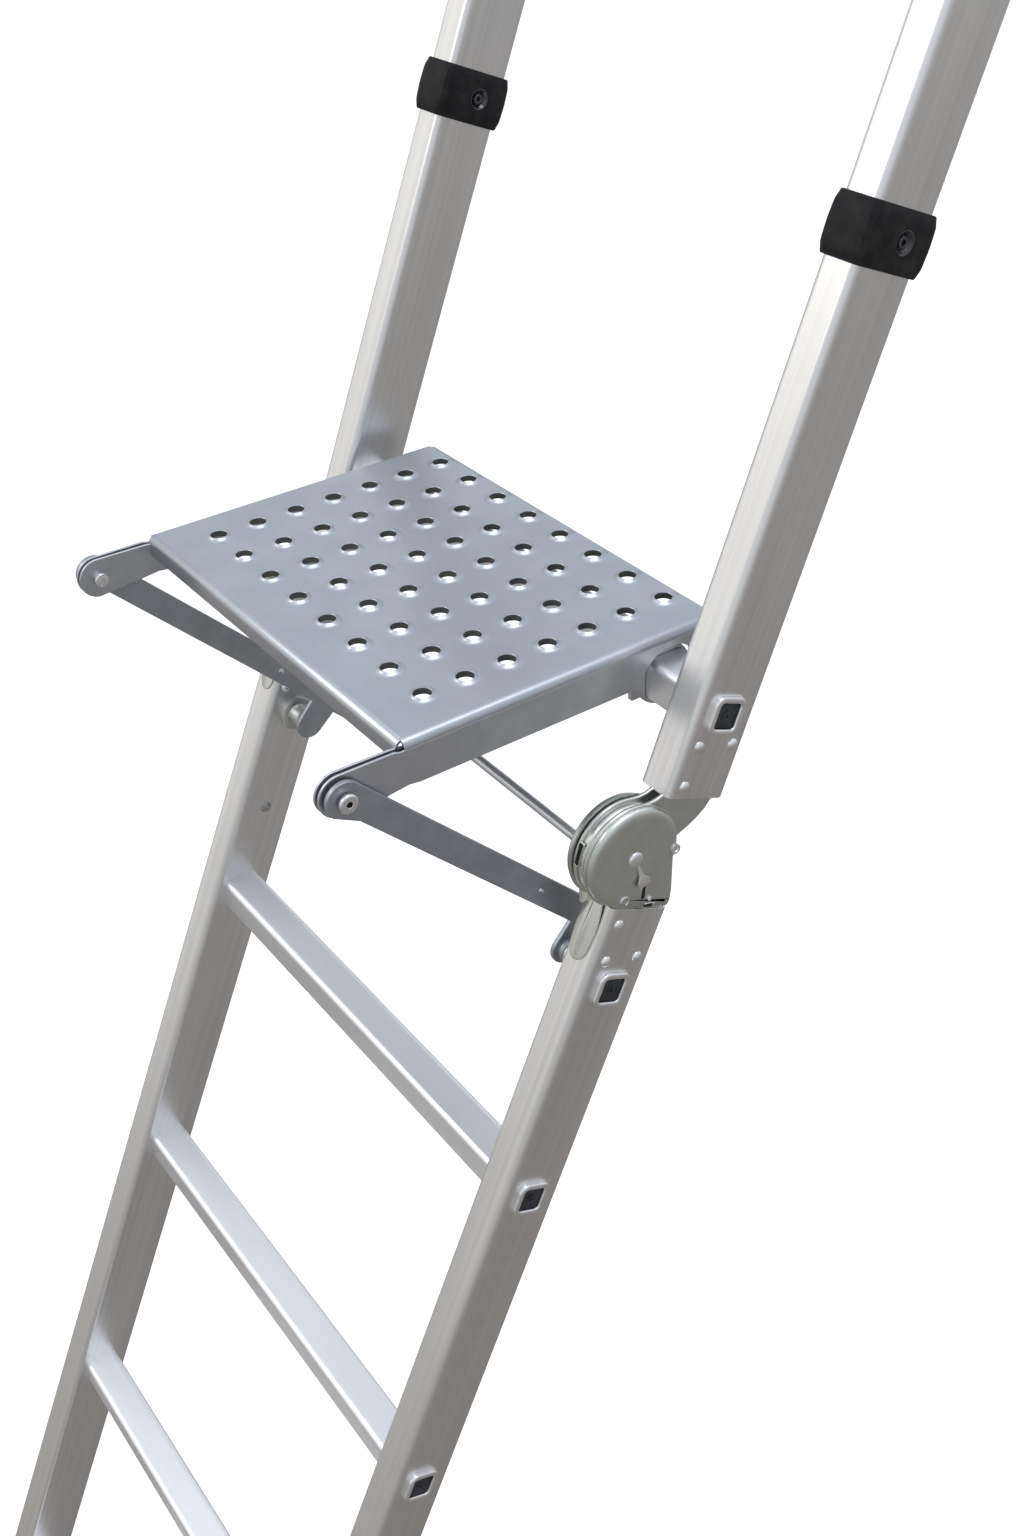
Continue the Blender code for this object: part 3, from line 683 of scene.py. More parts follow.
@dataclass(frozen=True)
class DrawnMetal(Finish):
    """Extruded or drawn metal with fine lines along it, cloudy patches and a few marks."""

    turn: tuple[float, float, float] = (0.0, 0.0, 0.0)
    run: int = 2
    depth: float = 0.000012

    def make(self) -> bpy.types.Material:
        """Lines are noise stretched along the run; patches are slow noise; both move tone and gloss."""
        made, nodes, shader = self.start()
        cells = [[0.0007, 0.0007, 0.0007], [0.0035, 0.0035, 0.0035], [0.03, 0.03, 0.03]]
        for cell, length in zip(cells, (0.25, 0.8, 0.35)):
            cell[self.run] = length
        fine = nodes.noise(nodes.stretched(self.turn, cells[0]), 1.0, 3.0, 0.6)
        lines = nodes.noise(nodes.stretched(self.turn, cells[1]), 1.0, 4.0, 0.6)
        patches = nodes.noise(nodes.stretched(self.turn, cells[2]), 1.0, 3.0, 0.5)
        specks = nodes.noise(nodes.stretched(self.turn, (0.004, 0.004, 0.006)), 1.0, 1.0, 0.4).band(0.74, 0.8)
        tint = (lines * 0.5 + patches * 0.5).band(0.3, 0.7) * 0.8 + specks * 0.2
        rough = self.roughness + (lines - 0.5) * 0.14 + (patches - 0.5) * 0.12 + specks * 0.1
        self.connect(nodes, shader, tint, rough, fine * 0.65 + lines * 0.35, self.depth)
        return made


@dataclass(frozen=True)
class SheetMetal(Finish):
    """Plated or rolled sheet: soft clouds, a fine tooth and faint scratches in one direction."""

    tooth: float = 0.0012
    depth: float = 0.00002
    clouds: float = 0.022

    def make(self) -> bpy.types.Material:
        """Clouds are slow noise, tooth is fast noise, and scratches are long thin noise at an angle."""
        made, nodes, shader = self.start()
        clouds = nodes.noise(nodes.stretched((0, 0, 0), (self.clouds,) * 3), 1.0, 4.0, 0.55)
        tooth = nodes.noise(nodes.stretched((0, 0, 0), (self.tooth,) * 3), 1.0, 2.0, 0.5)
        along = nodes.stretched((0.3, 0.2, 0.5), (0.001, 0.05, 0.001))
        scratches = nodes.noise(along, 1.0, 2.0, 0.5).band(0.62, 0.74)
        tint = clouds.band(0.3, 0.7) * 0.75 + (tooth - 0.5) * 0.25 + scratches * 0.12
        rough = self.roughness + (clouds - 0.5) * 0.16 + (tooth - 0.5) * 0.1 + scratches * 0.05
        self.connect(nodes, shader, tint, rough, tooth * 0.8 + scratches * 0.2, self.depth)
        return made


@dataclass(frozen=True)
class Moulded(Finish):
    """Moulded plastic with a fine leather-like grain that is polished in places."""

    grain: float = 0.0009
    bend_of_light: float = 1.22
    depth: float = 0.00006

    def make(self) -> bpy.types.Material:
        """Grain is cell distance with a little noise; handling makes slow patches glossier."""
        made, nodes, shader = self.start()
        shader.inputs["IOR"].default_value = self.bend_of_light
        where = nodes.stretched((0, 0, 0), (self.grain,) * 3)
        cells = nodes.value("ShaderNodeTexVoronoi", {"feature": "F1"}, {"Vector": where, "Scale": 1.0})
        worn = nodes.noise(nodes.stretched((0, 0, 0), (0.012,) * 3), 1.0, 3.0, 0.6)
        tint = worn.band(0.35, 0.75) * 0.8 + cells * 0.2
        rough = self.roughness + (worn - 0.5) * 0.25
        self.connect(nodes, shader, tint, rough, cells * 0.7 + worn * 0.3, self.depth)
        return made


class Palette:
    """Every finish of the ladder, made once."""

    def __init__(self) -> None:
        """Makes the materials."""
        lower, upper = (LOWER_LEAN - math.pi / 2, 0.0, 0.0), (UPPER_LEAN - math.pi / 2, 0.0, 0.0)
        light, soft = (0.87, 0.865, 0.855), (0.68, 0.675, 0.665)
        self.lower_stile = DrawnMetal("stile_aluminium_lower", light, soft, 0.36, turn=lower).make()
        self.upper_stile = DrawnMetal("stile_aluminium_upper", light, soft, 0.31, turn=upper).make()
        self.rung = DrawnMetal(
            "rung_aluminium", (0.95, 0.96, 0.98), (0.88, 0.89, 0.915), 0.42, run=0, depth=0.003 * MM
        ).make()
        self.bright = SheetMetal("bright_metal", (0.93, 0.93, 0.94), (0.83, 0.83, 0.85), 0.18).make()
        self.zinc = SheetMetal("zinc_plate", (0.66, 0.68, 0.64), (0.55, 0.575, 0.54), 0.36).make()
        self.zinc_light = SheetMetal("zinc_plate_light", (0.80, 0.80, 0.76), (0.70, 0.70, 0.66), 0.3).make()
        self.deck = SheetMetal(
            "deck_steel", (0.54, 0.565, 0.61), (0.46, 0.485, 0.53), 0.36, clouds=60 * MM
        ).make()
        self.flange = SheetMetal("flange_steel", (0.60, 0.62, 0.65), (0.52, 0.54, 0.57), 0.4).make()
        self.strut = SheetMetal(
            "strut_steel", (0.40, 0.425, 0.46), (0.32, 0.34, 0.37), 0.42, metallic=0.9
        ).make()
        # Near black on the deck's hole walls: partly the bare cut edge's own darker tone, partly painted
        # shade inside the holes.
        self.hole_edge = SheetMetal(
            "hole_edge", (0.085, 0.088, 0.085), (0.06, 0.062, 0.06), 0.6, metallic=0.3
        ).make()
        self.black = Moulded("black_plastic", (0.007, 0.007, 0.009), (0.02, 0.019, 0.018), 0.5, 0.0).make()
        self.gloss_black = Moulded(
            "glossy_black", (0.01, 0.01, 0.012), (0.02, 0.02, 0.024), 0.14, 0.0, bend_of_light=1.7
        ).make()
        self.nylon = Moulded("dark_nylon", (0.018, 0.019, 0.021), (0.04, 0.042, 0.046), 0.4, 0.0).make()
        self.dark = SheetMetal(
            "dark_steel", (0.10, 0.10, 0.11), (0.06, 0.06, 0.07), 0.35, metallic=0.8
        ).make()
        self.hollow = Moulded("shadowed_hollow", (0.008, 0.009, 0.01), (0.02, 0.022, 0.024), 0.6, 0.0).make()


# ---- stiles ------------------------------------------------------------------------------


@dataclass
class Rails:
    """The four long tubes: a lower stile, a post and its extension on each side."""

    palette: Palette
    width: float = 30.4 * MM
    depth: float = 54.0 * MM
    wall: float = 1.8 * MM
    corner: float = 5.5 * MM
    lower_front: float = -0.5 * MM
    upper_front: float = 13.5 * MM
    lower_span: tuple[float, float] = (-1.856, -0.0405)
    post_span: tuple[float, float] = (0.0438, 0.419)
    extension_span: tuple[float, float] = (0.4193, 1.12)
    spare_hole: float = -0.2
    hole_radius: float = 5.0 * MM

    def middle(self, side: Side) -> float:
        """The X of a stile's middle."""
        low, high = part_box(f"lower_stile_{side.word}")
        return (low.x + high.x) / 2

    def section(self, side: Side, front: float) -> Array:
        """The stile's outline across it: a rectangle with round corners.

        Args:
            side: Which side of the ladder.
            front: Where the front face lies behind the fold axis.

        Returns:
            The outline in (across, back).
        """
        middle = (self.middle(side), front + self.depth / 2)
        return rounded_box(middle, (self.width, self.depth), self.corner, 8)

    def tube(
        self, name: str, side: Side, upper: bool, span: tuple[float, float], node: str
    ) -> bpy.types.Object:
        """One tube, open a little way in at both ends.

        Args:
            name: The piece's name.
            side: Which side of the ladder.
            upper: Whether it stands above the hinge.
            span: Where it starts and ends along the stile.
            node: The frame node it stands for.

        Returns:
            The piece.
        """
        low, high = span
        wall, deep, soft = self.wall, 12 * MM, 0.25 * MM
        edge = np.array([
            (wall, low + deep), (wall, low + soft), (wall - soft, low), (soft, low), (0, low + soft),
            (0, low + 0.6 * MM), (0, high - 0.6 * MM),
            (0, high - soft), (soft, high), (wall - soft, high), (wall, high - soft), (wall, high - deep),
        ])
        skin = Skin(name)
        place = stile_place(UPPER_LEAN if upper else LOWER_LEAN)
        skin.slab(place, [self.section(side, self.upper_front if upper else self.lower_front)], [edge])
        finish = self.palette.upper_stile if upper else self.palette.lower_stile
        return skin.build([finish], Body.UPPER if upper else Body.LOWER, [node], "aluminium")

    def open_spare_hole(self, stile: bpy.types.Object, side: Side) -> None:
        """Cuts the empty hole in a stile's inner face.

        Args:
            stile: The lower stile.
            side: Which side it is on.
        """
        inner = self.middle(side) * side.value - self.width / 2
        centre = (self.lower_front + self.depth / 2, self.spare_hole)
        drill = Skin("drill")
        outline = circle(centre, self.hole_radius, 32)
        depth = np.array([(0, inner - 4 * MM), (0, inner + 9 * MM)])
        drill.slab(side_place(LOWER_LEAN, side), [outline], [depth])
        carve(stile, drill)

    def build(self) -> None:
        """Makes both sides."""
        for side in Side:
            word = side.word
            stile = self.tube(f"stile_{word}", side, False, self.lower_span, f"lower_stile_{word}")
            self.open_spare_hole(stile, side)
            self.tube(f"upright_{word}", side, True, self.post_span, f"post_{word}")
            self.tube(f"upright_top_{word}", side, True, self.extension_span, f"post_extension_{word}")


# ---- rungs -------------------------------------------------------------------------------


@dataclass
class Rungs:
    """Square rungs through the stiles, with a flared ring and a dark plug on each outer face."""

    palette: Palette
    rails: Rails
    side_length: float = 32.0 * MM
    corner: float = 5.0 * MM
    ring_size: float = 28.5 * MM
    ring_corner: float = 7.5 * MM
    ring_band: float = 4.8 * MM
    ring_proud: float = 4.2 * MM
    ring_back: float = 25.4 * MM
    reach: float = 2.0 * MM

    def rung(self, node: str, body: Body) -> None:
        """The tube between the stiles: a rounded square carried across.

        Args:
            node: The frame node it stands for.
            body: The body it rides on.
        """
        middle = centre_of(node)
        half = abs(self.rails.middle(Side.RIGHT)) - self.rails.width / 2 + self.reach
        skin = Skin(node.replace("lower_rung", "rung").replace("platform_rung", "rung_under_platform"))
        place = Place((0.0, middle[1], middle[2]), AWAY, UPWARD, ACROSS)
        outline = rounded_box((0, 0), (self.side_length,) * 2, self.corner, 7)
        skin.slab(place, [outline], [rim(-half, half, 0.3 * MM, 1)])
        skin.build([self.palette.rung], body, [node], "rung_aluminium")

    def end(self, name: str, side: Side, upper: bool, along: float, replaces: Sequence[str] = ()) -> None:
        """One flared ring with its plug, square to the stile.

        Args:
            name: The piece's name.
            side: Which side of the ladder.
            upper: Whether it is above the hinge.
            along: Its middle along the stile.
            replaces: The frame nodes it stands for.
        """
        rails = self.rails
        face = rails.middle(side) * side.value + rails.width / 2
        front = rails.upper_front if upper else rails.lower_front
        centre = (front + self.ring_back, along)
        place = side_place(UPPER_LEAN if upper else LOWER_LEAN, side)
        proud, band = self.ring_proud, self.ring_band
        skin = Skin(name)
        angle = np.linspace(0, np.pi, 13)
        across, drop = band / 2 * (1 - np.cos(angle)), band / 2 * 0.62 * (1 - np.sin(angle))
        crown = np.stack([across, face + proud - drop], 1)
        foot = raised([(-0.7, -0.2), (-0.7, 0.25), (-0.1, 0.6)], face)
        inner = np.array([(band, face + 1.2 * MM), (band + 0.1 * MM, face + 0.3 * MM)])
        outline = rounded_box(centre, (self.ring_size,) * 2, self.ring_corner, 9)
        skin.slab(place, [outline], [np.vstack([foot, crown, inner])])
        hole = self.ring_size - 2 * band
        plug = rounded_box(centre, (hole - 0.4 * MM,) * 2, max(self.ring_corner - band, 1.5 * MM), 6)
        top = face + 1.5 * MM
        skin.slab(place, [plug], [rim(face, top, 0.5 * MM)], slot=1)
        dimple = Place(tuple(place.to_row(np.array([*centre, top]))), place.first, place.second, place.third)
        bump = [(0, 0.1), (1.4, 0.1), (1.6, 0.9), (2.4, 1.0), (3.1, 0.6), (3.3, -0.2), (0, -0.2)]
        skin.turned(dimple, raised(bump, 0.0), 24, slot=1)
        body = Body.UPPER if upper else Body.LOWER
        skin.build([self.palette.bright, self.palette.nylon], body, replaces, "rung_aluminium")

    def anchor_boss(self, node: str, side: Side) -> None:
        """The stepped boss on a stile's inner face that carries a strut's foot.

        Args:
            node: The frame node it stands for.
            side: Which side of the ladder.
        """
        low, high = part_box(node)
        middle = centre_of(node)
        tip = min(abs(low.x), abs(high.x))
        wall = abs(self.rails.middle(side)) - self.rails.width / 2
        place = Place((0.0, middle[1], middle[2]), AWAY, UPWARD, (float(side.value), 0.0, 0.0))
        skin = Skin(f"anchor_boss_{side.word}")
        steps = [(0, tip), (8.2, tip), (9.0, tip + 0.8 * MM), (9.0, wall - 6 * MM), (9.6, wall - 4.6 * MM),
                 (14.5, wall - 4 * MM), (15.5, wall - 3.2 * MM), (15.8, wall + 1 * MM), (0, wall + 1 * MM)]
        skin.turned(place, [(radius * MM, height) for radius, height in steps], 48)
        skin.build([self.palette.zinc], Body.LOWER, [node], "rung_aluminium")

    def build(self) -> None:
        """Makes every rung and its ends, and the ends and bosses of the two strut anchors."""
        hinge = np.array(hinge_line())
        up = np.array(lean_directions(LOWER_LEAN)[1])
        for side in Side:
            node = f"strut_anchor_{side.word}"
            middle = np.array(centre_of(node))
            along = float((middle - hinge) * np.array([0.0, 1.0, 1.0]) @ up)
            self.end(f"anchor_end_{side.word}", side, False, along)
            self.anchor_boss(node, side)
        for upper, nodes in ((False, [f"lower_rung_{n}" for n in range(1, 7)]), (True, ["platform_rung"])):
            up = np.array(lean_directions(UPPER_LEAN if upper else LOWER_LEAN)[1])
            for node in nodes:
                self.rung(node, Body.UPPER if upper else Body.LOWER)
                middle = np.array(centre_of(node)) - hinge
                along = float(middle @ up)
                for side in Side:
                    self.end(f"{node}_end_{side.word}", side, upper, along)


# ---- hinges ------------------------------------------------------------------------------


@dataclass
class Hinges:
    """The two locking hinges: pressed shells, the turning plates between them, rivets and catch."""

    palette: Palette
    rails: Rails
    radius: float = 39.0 * MM
    wheel: float = 37.4 * MM
    outer_face: float = 243.6 * MM
    outer_back: float = 237.2 * MM
    wheel_outer: tuple[float, float] = (232.8 * MM, 236.4 * MM)
    wheel_inner: tuple[float, float] = (222.6 * MM, 226.0 * MM)
    inner_face: float = 214.6 * MM
    inner_back: float = 221.4 * MM
    lower_rivets: tuple = ((10.7, -53.0), (11.4, -82.3), (40.6, -80.0))
    upper_rivets: tuple = ((25.0, 53.0), (25.8, 83.0), (56.8, 85.0))

    @property
    def dome(self) -> Array:
        """A rivet head's section, in millimetres of radius and rise."""
        return np.array([(0, 2.5), (1.3, 2.35), (2.7, 1.85), (3.8, 1.0), (4.3, 0.3), (4.4, 0.0), (4.3, -0.2)])

    def shell_outline(self) -> Array:
        """A disc whose lower right side runs down to the stile's top, in (back, up)."""
        disc = arc((0, 0), self.radius, 2, 258, 72)
        foot = np.array([
            (2.0, -39.9), (49.0, -39.9), (51.6, -38.2), (52.0, -33.0), (49.6, -24.0), (45.4, -14.0),
            (41.6, -5.0),
        ])
        return np.vstack([disc, foot * MM])

    def shell(self, name: str, side: Side, face: float, back: float, node: str) -> None:
        """A pressed shell: a thin lip, a step, a rounded shoulder and a nearly flat face.

        Args:
            name: The piece's name.
            side: Which side of the ladder.
            face: Where its shown face is, outwards from the middle.
            back: Where its lip starts.
            node: The frame node it stands for.
        """
        toward = 1 if face > back else -1
        steps = np.array([
            (3.0, 0.0), (0.3, 0.0), (0.0, 0.2), (0.0, 0.9), (0.3, 1.2), (1.0, 1.3), (1.1, 2.4), (1.35, 3.6),
            (1.9, 4.6), (2.8, 5.4), (4.2, 5.95), (6.0, 6.2), (8.0, 6.35), (8.4, 6.35),
        ]) * MM
        stretch = abs(face - back) / steps[-1, 1]
        edge = np.column_stack([steps[:, 0], back + toward * steps[:, 1] * stretch])
        skin = Skin(name)
        skin.slab(side_place(LOWER_LEAN, side), [self.shell_outline()], [edge])
        skin.build([self.palette.zinc], Body.LOWER, [node], "zinc", sharp=50)

    def wheel_outline(self) -> Array:
        """The turning plate: a disc with a curved neck up into the post, in (back, up)."""
        disc = arc((0, 0), self.wheel, 96, 372, 84)
        neck = np.array([
            (41.5, 13.6), (47.5, 19.0), (53.6, 26.0), (58.4, 33.0), (61.4, 41.0), (62.2, 48.0), (62.0, 56.0),
            (20.0, 56.0), (17.2, 50.0), (13.6, 45.2), (8.6, 41.4), (2.6, 38.6),
        ])
        return np.vstack([disc, neck * MM])

    def turning_plates(self, side: Side) -> None:
        """Two sheets with a rim between them that stops short of the neck, so that a gap is seen there."""
        place = side_place(UPPER_LEAN, side)
        skin = Skin(f"hinge_wheel_{side.word}")
        outline = self.wheel_outline()
        for low, high in (self.wheel_outer, self.wheel_inner):
            skin.slab(place, [outline], [rim(low, high, 1.4 * MM, 4)])
        band = [rim(self.wheel_inner[1] - 0.3 * MM, self.wheel_outer[0] + 0.3 * MM, 0.2 * MM, 1)]
        skin.slab(place, [circle((0, 0), self.wheel - 1.3 * MM, 96)], band, slot=1)
        block = rounded_box((38.0 * MM, 74.0 * MM), (40.0 * MM, 44.0 * MM), 3 * MM)
        skin.slab(place, [block], [rim(self.wheel_inner[0], self.wheel_outer[1], 0.4 * MM, 1)])
        node = f"hinge_wheel_plate_{side.word}"
        skin.build([self.palette.zinc, self.palette.zinc_light], Body.UPPER, [node], "zinc", sharp=50)

    def latch_window(self, side: Side) -> None:
        """The dark slot with its light frame in the rim between the shells."""
        back, up = np.array(lean_directions(LOWER_LEAN))
        angle = math.radians(186)
        out = back * math.cos(angle) + up * math.sin(angle)
        tangent = -back * math.sin(angle) + up * math.cos(angle)
        origin = np.array(hinge_line()) + out * (self.wheel - 1.6 * MM)
        origin[0] = side.value * 227.6 * MM
        place = Place(tuple(origin), (float(side.value), 0.0, 0.0), tuple(tangent), tuple(out))
        skin = Skin(f"hinge_latch_window_{side.word}")
        hole = rounded_box((0, 0), (3.4 * MM, 16 * MM), 0.5 * MM, 3)
        frame_line = rounded_box((0, 0), (4.6 * MM, 18 * MM), 0.9 * MM, 3)
        skin.slab(place, [frame_line, hole], [rim(0, 1.9 * MM, 0.3 * MM, 2), rim(0, 1.9 * MM, 0.3 * MM, 2)])
        skin.slab(place, [hole], [rim(0.1 * MM, 0.9 * MM, 0.1 * MM, 1)], slot=1)
        skin.build([self.palette.zinc_light, self.palette.hollow], Body.LOWER)

    def pin(self, side: Side) -> None:
        """The hinge pin with a low domed head outside and inside."""
        skin = Skin(f"hinge_pin_head_{side.word}")
        place = side_place(LOWER_LEAN, side)
        face, inner = self.outer_face, self.inner_face
        outside = raised([(0, 2.3), (2.2, 2.2), (4.2, 1.9), (5.6, 1.2), (6.1, 0.3), (6.1, -0.5)], face)
        inside = raised([(6.1, 0.5), (6.1, -0.4), (5.0, -1.3), (2.6, -1.9), (0, -2.0)], inner)
        skin.turned(place, np.vstack([outside, inside]))
        skin.build([self.palette.bright], Body.LOWER, [f"hinge_pin_{side.word}"], "zinc")

    def rivets(self, side: Side) -> None:
        """Domed rivets through the stile and the post, shown on both faces."""
        rails = self.rails
        outer = rails.middle(side) * side.value + rails.width / 2
        inner = outer - rails.width
        for word, lean, spots, body in (
            ("lower", LOWER_LEAN, self.lower_rivets, Body.LOWER),
            ("upper", UPPER_LEAN, self.upper_rivets, Body.UPPER),
        ):
            place = side_place(lean, side)
            for number, (back, up) in enumerate(spots, 1):
                at = Place(tuple(place.to_row(np.array([back * MM, up * MM, 0.0]))), *self.axes(place))
                head = self.dome * MM + [0.0, outer]
                tail = self.dome[::-1] * [MM, -0.8 * MM] + [0.0, inner]
                skin = Skin(f"{word}_rivet_head_{side.word}_{number}")
                skin.turned(at, np.vstack([head, tail]), 28)
                skin.build([self.palette.bright], body, [f"{word}_rivet_{side.word}_{number}"], "zinc")

    @staticmethod
    def axes(place: Place) -> tuple:
        """The three directions of a place."""
        return place.first, place.second, place.third

    def catch(self, side: Side) -> None:
        """The bent tab and its stem on the outer face, the slot below it and small marks near the edge."""
        place = side_place(LOWER_LEAN, side)
        face = self.outer_face
        skin = Skin(f"hinge_catch_{side.word}")
        line = np.array([
            (4.0, -4.0, 0.2), (7.4, -8.2, 0.7), (10.0, -11.6, 1.5), (12.0, -14.2, 2.5), (14.2, -17.0, 2.7),
            (16.0, -19.0, 1.9),
        ])
        stem = line * MM + np.array([0, 0, face])
        skin.ribbon(place, stem, np.array([2.5, 3.0, 4.0, 9.5, 11.0, 9.5]) * MM, 1.1 * MM)
        slot = rounded([(16.6, -19.5), (18.6, -18.5), (22.6, -30.2), (19.4, -31.4)], 0.8, 3) * MM
        mouth = rounded([(25.0, -37.6), (26.0, -34.6), (31.6, -34.4), (33.4, -37.4)], 0.9, 3) * MM
        for opening in (slot, mouth):
            skin.slab(place, [opening], [rim(face - 1 * MM, face + 0.08 * MM, 0.05 * MM, 1)], slot=1)
        lip = np.array([(24.4, -35.0, 0.3), (27.0, -34.0, 0.6), (30.5, -33.6, 0.7), (34.0, -34.6, 0.4)]) * MM
        skin.ribbon(place, lip + np.array([0, 0, face]), np.full(4, 1.3 * MM), 0.9 * MM)
        curl = arc((4.4, -32.2), 3.3, -60, 200, 14)
        hook = np.column_stack([curl, np.full(14, 0.35)]) * MM + np.array([0, 0, face])
        skin.ribbon(place, hook, np.linspace(0.8, 1.7, 14) * MM, 1.0 * MM)
        ring = np.array([
            (0, 0.1), (0.45, 0.1), (0.55, 0.9), (0.8, 1.1), (0.97, 0.8), (1.0, -1.0), (0, -1.0),
        ])
        for back, up, radius in ((34.4, 8.0, 4.0), (27.2, -30.6, 1.9)):
            at = Place(tuple(place.to_row(np.array([back * MM, up * MM, face]))), *self.axes(place))
            skin.turned(at, ring * [radius * MM, MM], 24)
        skin.build([self.palette.bright, self.palette.hollow], Body.LOWER)

    def stile_mouth(self, side: Side) -> None:
        """The shells' legs where they go down into the stile's open top."""
        skin = Skin(f"hinge_legs_{side.word}")
        place = stile_place(LOWER_LEAN)
        rails = self.rails
        middle = (rails.middle(side), rails.lower_front + rails.depth / 2)
        less = 2 * rails.wall + 0.6 * MM
        outline = rounded_box(middle, (rails.width - less, rails.depth - less), 3.4 * MM, 5)
        edge = [(2.2, -50.0), (0, -50.0), (0, -1.0), (0.8, 0.2), (5.0, 2.4), (5.4, 2.4)]
        skin.slab(place, [outline], [raised(edge, rails.lower_span[1])])
        skin.build([self.palette.zinc_light], Body.LOWER)

    def build(self) -> None:
        """Makes both hinges."""
        for side in Side:
            word = side.word
            for name, face, back, node in (
                ("hinge_shell", self.outer_face, self.outer_back, "hinge_outer_shell"),
                ("hinge_back_shell", self.inner_face, self.inner_back, "hinge_inner_shell"),
            ):
                self.shell(f"{name}_{word}", side, face, back, f"{node}_{word}")
            self.turning_plates(side)
            self.latch_window(side)
            self.pin(side)
            self.rivets(side)
            self.catch(side)
            self.stile_mouth(side)


# ---- release -----------------------------------------------------------------------------


@dataclass
class Release:
    """The rod across the ladder and the leaf levers on the stiles' fronts."""

    palette: Palette
    rails: Rails
    rod_radius: float = 3.75 * MM
    sheet: float = 1.4 * MM

    def rod(self) -> None:
        """A plain round rod with turned ends."""
        low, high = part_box("release_rod")
        middle = centre_of("release_rod")
        place = Place((0.0, middle[1], middle[2]), AWAY, UPWARD, ACROSS)
        radius, soft = self.rod_radius, 0.5 * MM
        skin = Skin("release_bar")
        ends = [
            (0, low.x), (radius - soft, low.x), (radius, low.x + soft),
            (radius, high.x - soft), (radius - soft, high.x), (0, high.x),
        ]
        skin.turned(place, ends, 32)
        skin.build([self.palette.flange], Body.RELEASE, ["release_rod"], "zinc")

    def leaf(self, side: Side) -> None:
        """A leaf-shaped finger lever: a crowned, pointed sheet with a raised spine, from the rod down.

        The leaf is the grid (u, v): along it u goes from the eye to the tip, across it v goes
        from edge to edge; the half width follows the sine of u to a power, and the height is a
        crown of 1 - v^2 with a sharp spine near v = 0.3.

        Args:
            side: Which side of the ladder.
        """
        back, up = lean_directions(LOWER_LEAN)
        front = self.rails.lower_front
        place = Place(hinge_line(), ACROSS, up, tuple(-np.array(back)))
        u = np.linspace(0, 1, 40)[:, None]
        v = np.linspace(-1, 1, 25)[None]
        half = (3.2 + 6.6 * np.sin(np.pi * np.clip(u * 0.78 + 0.08, 0, 1)) ** 0.8) * MM
        half = half * np.sqrt(np.clip(1 - ((u - 0.82) / 0.18).clip(0) ** 2, 0.0, 1))
        across = (self.rails.middle(side) * side.value - 2.6 * MM) + half * v + 1.6 * MM * (1 - u)
        along = (-34.0 - 56.0 * u + np.zeros_like(v)) * MM
        crown = 2.2 * (1 - v**2) * np.sin(np.pi * np.clip(u * 0.9 + 0.08, 0, 1))
        spine = 1.5 * np.exp(-(((v - 0.3 + 0.25 * u) / 0.16) ** 2)) * np.sin(np.pi * u)
        rise = (-front / MM + 1.3 + crown + spine + 2.6 * (1 - u) ** 3) * MM
        top = np.stack([across * side.value, along, rise], -1)
        under = top - np.array([0, 0, self.sheet])
        skin = Skin(f"release_leaf_{side.word}")
        loop = np.concatenate([top, under[:, ::-1]], 1)
        skin.grid(place.to_row(loop))
        ends = np.concatenate([loop[0], loop[-1]])
        skin.add(place.to_row(ends), np.arange(len(ends)).reshape(2, -1), 0)
        rod = np.array(centre_of("release_rod"))
        rod[0] = 0.0
        eye_place = Place(tuple(rod), back, up, (float(side.value), 0.0, 0.0))
        inner = self.rails.middle(side) * side.value - self.rails.width / 2
        reach = -(rod - np.array(hinge_line())) @ np.array(back) / MM
        corners = [
            (-8.0, 3.0), (0.0, 8.6), (8.0, 3.0), (8.0, -6.0), (reach - 2.2, -43.0), (reach - 7.0, -46.0),
        ]
        arm = rounded(corners, (3, 4, 3, 4, 1.2, 1.2), 5) * MM
        skin.slab(eye_place, [arm], [rim(inner + 4.4 * MM, inner + 7.2 * MM, 0.6 * MM, 2)])
        skin.build([self.palette.zinc_light], Body.RELEASE, [f"release_lever_{side.word}"], "zinc", sharp=60)

    def build(self) -> None:
        """Makes the rod and both levers."""
        self.rod()
        for side in Side:
            self.leaf(side)


# ---- post tops ---------------------------------------------------------------------------


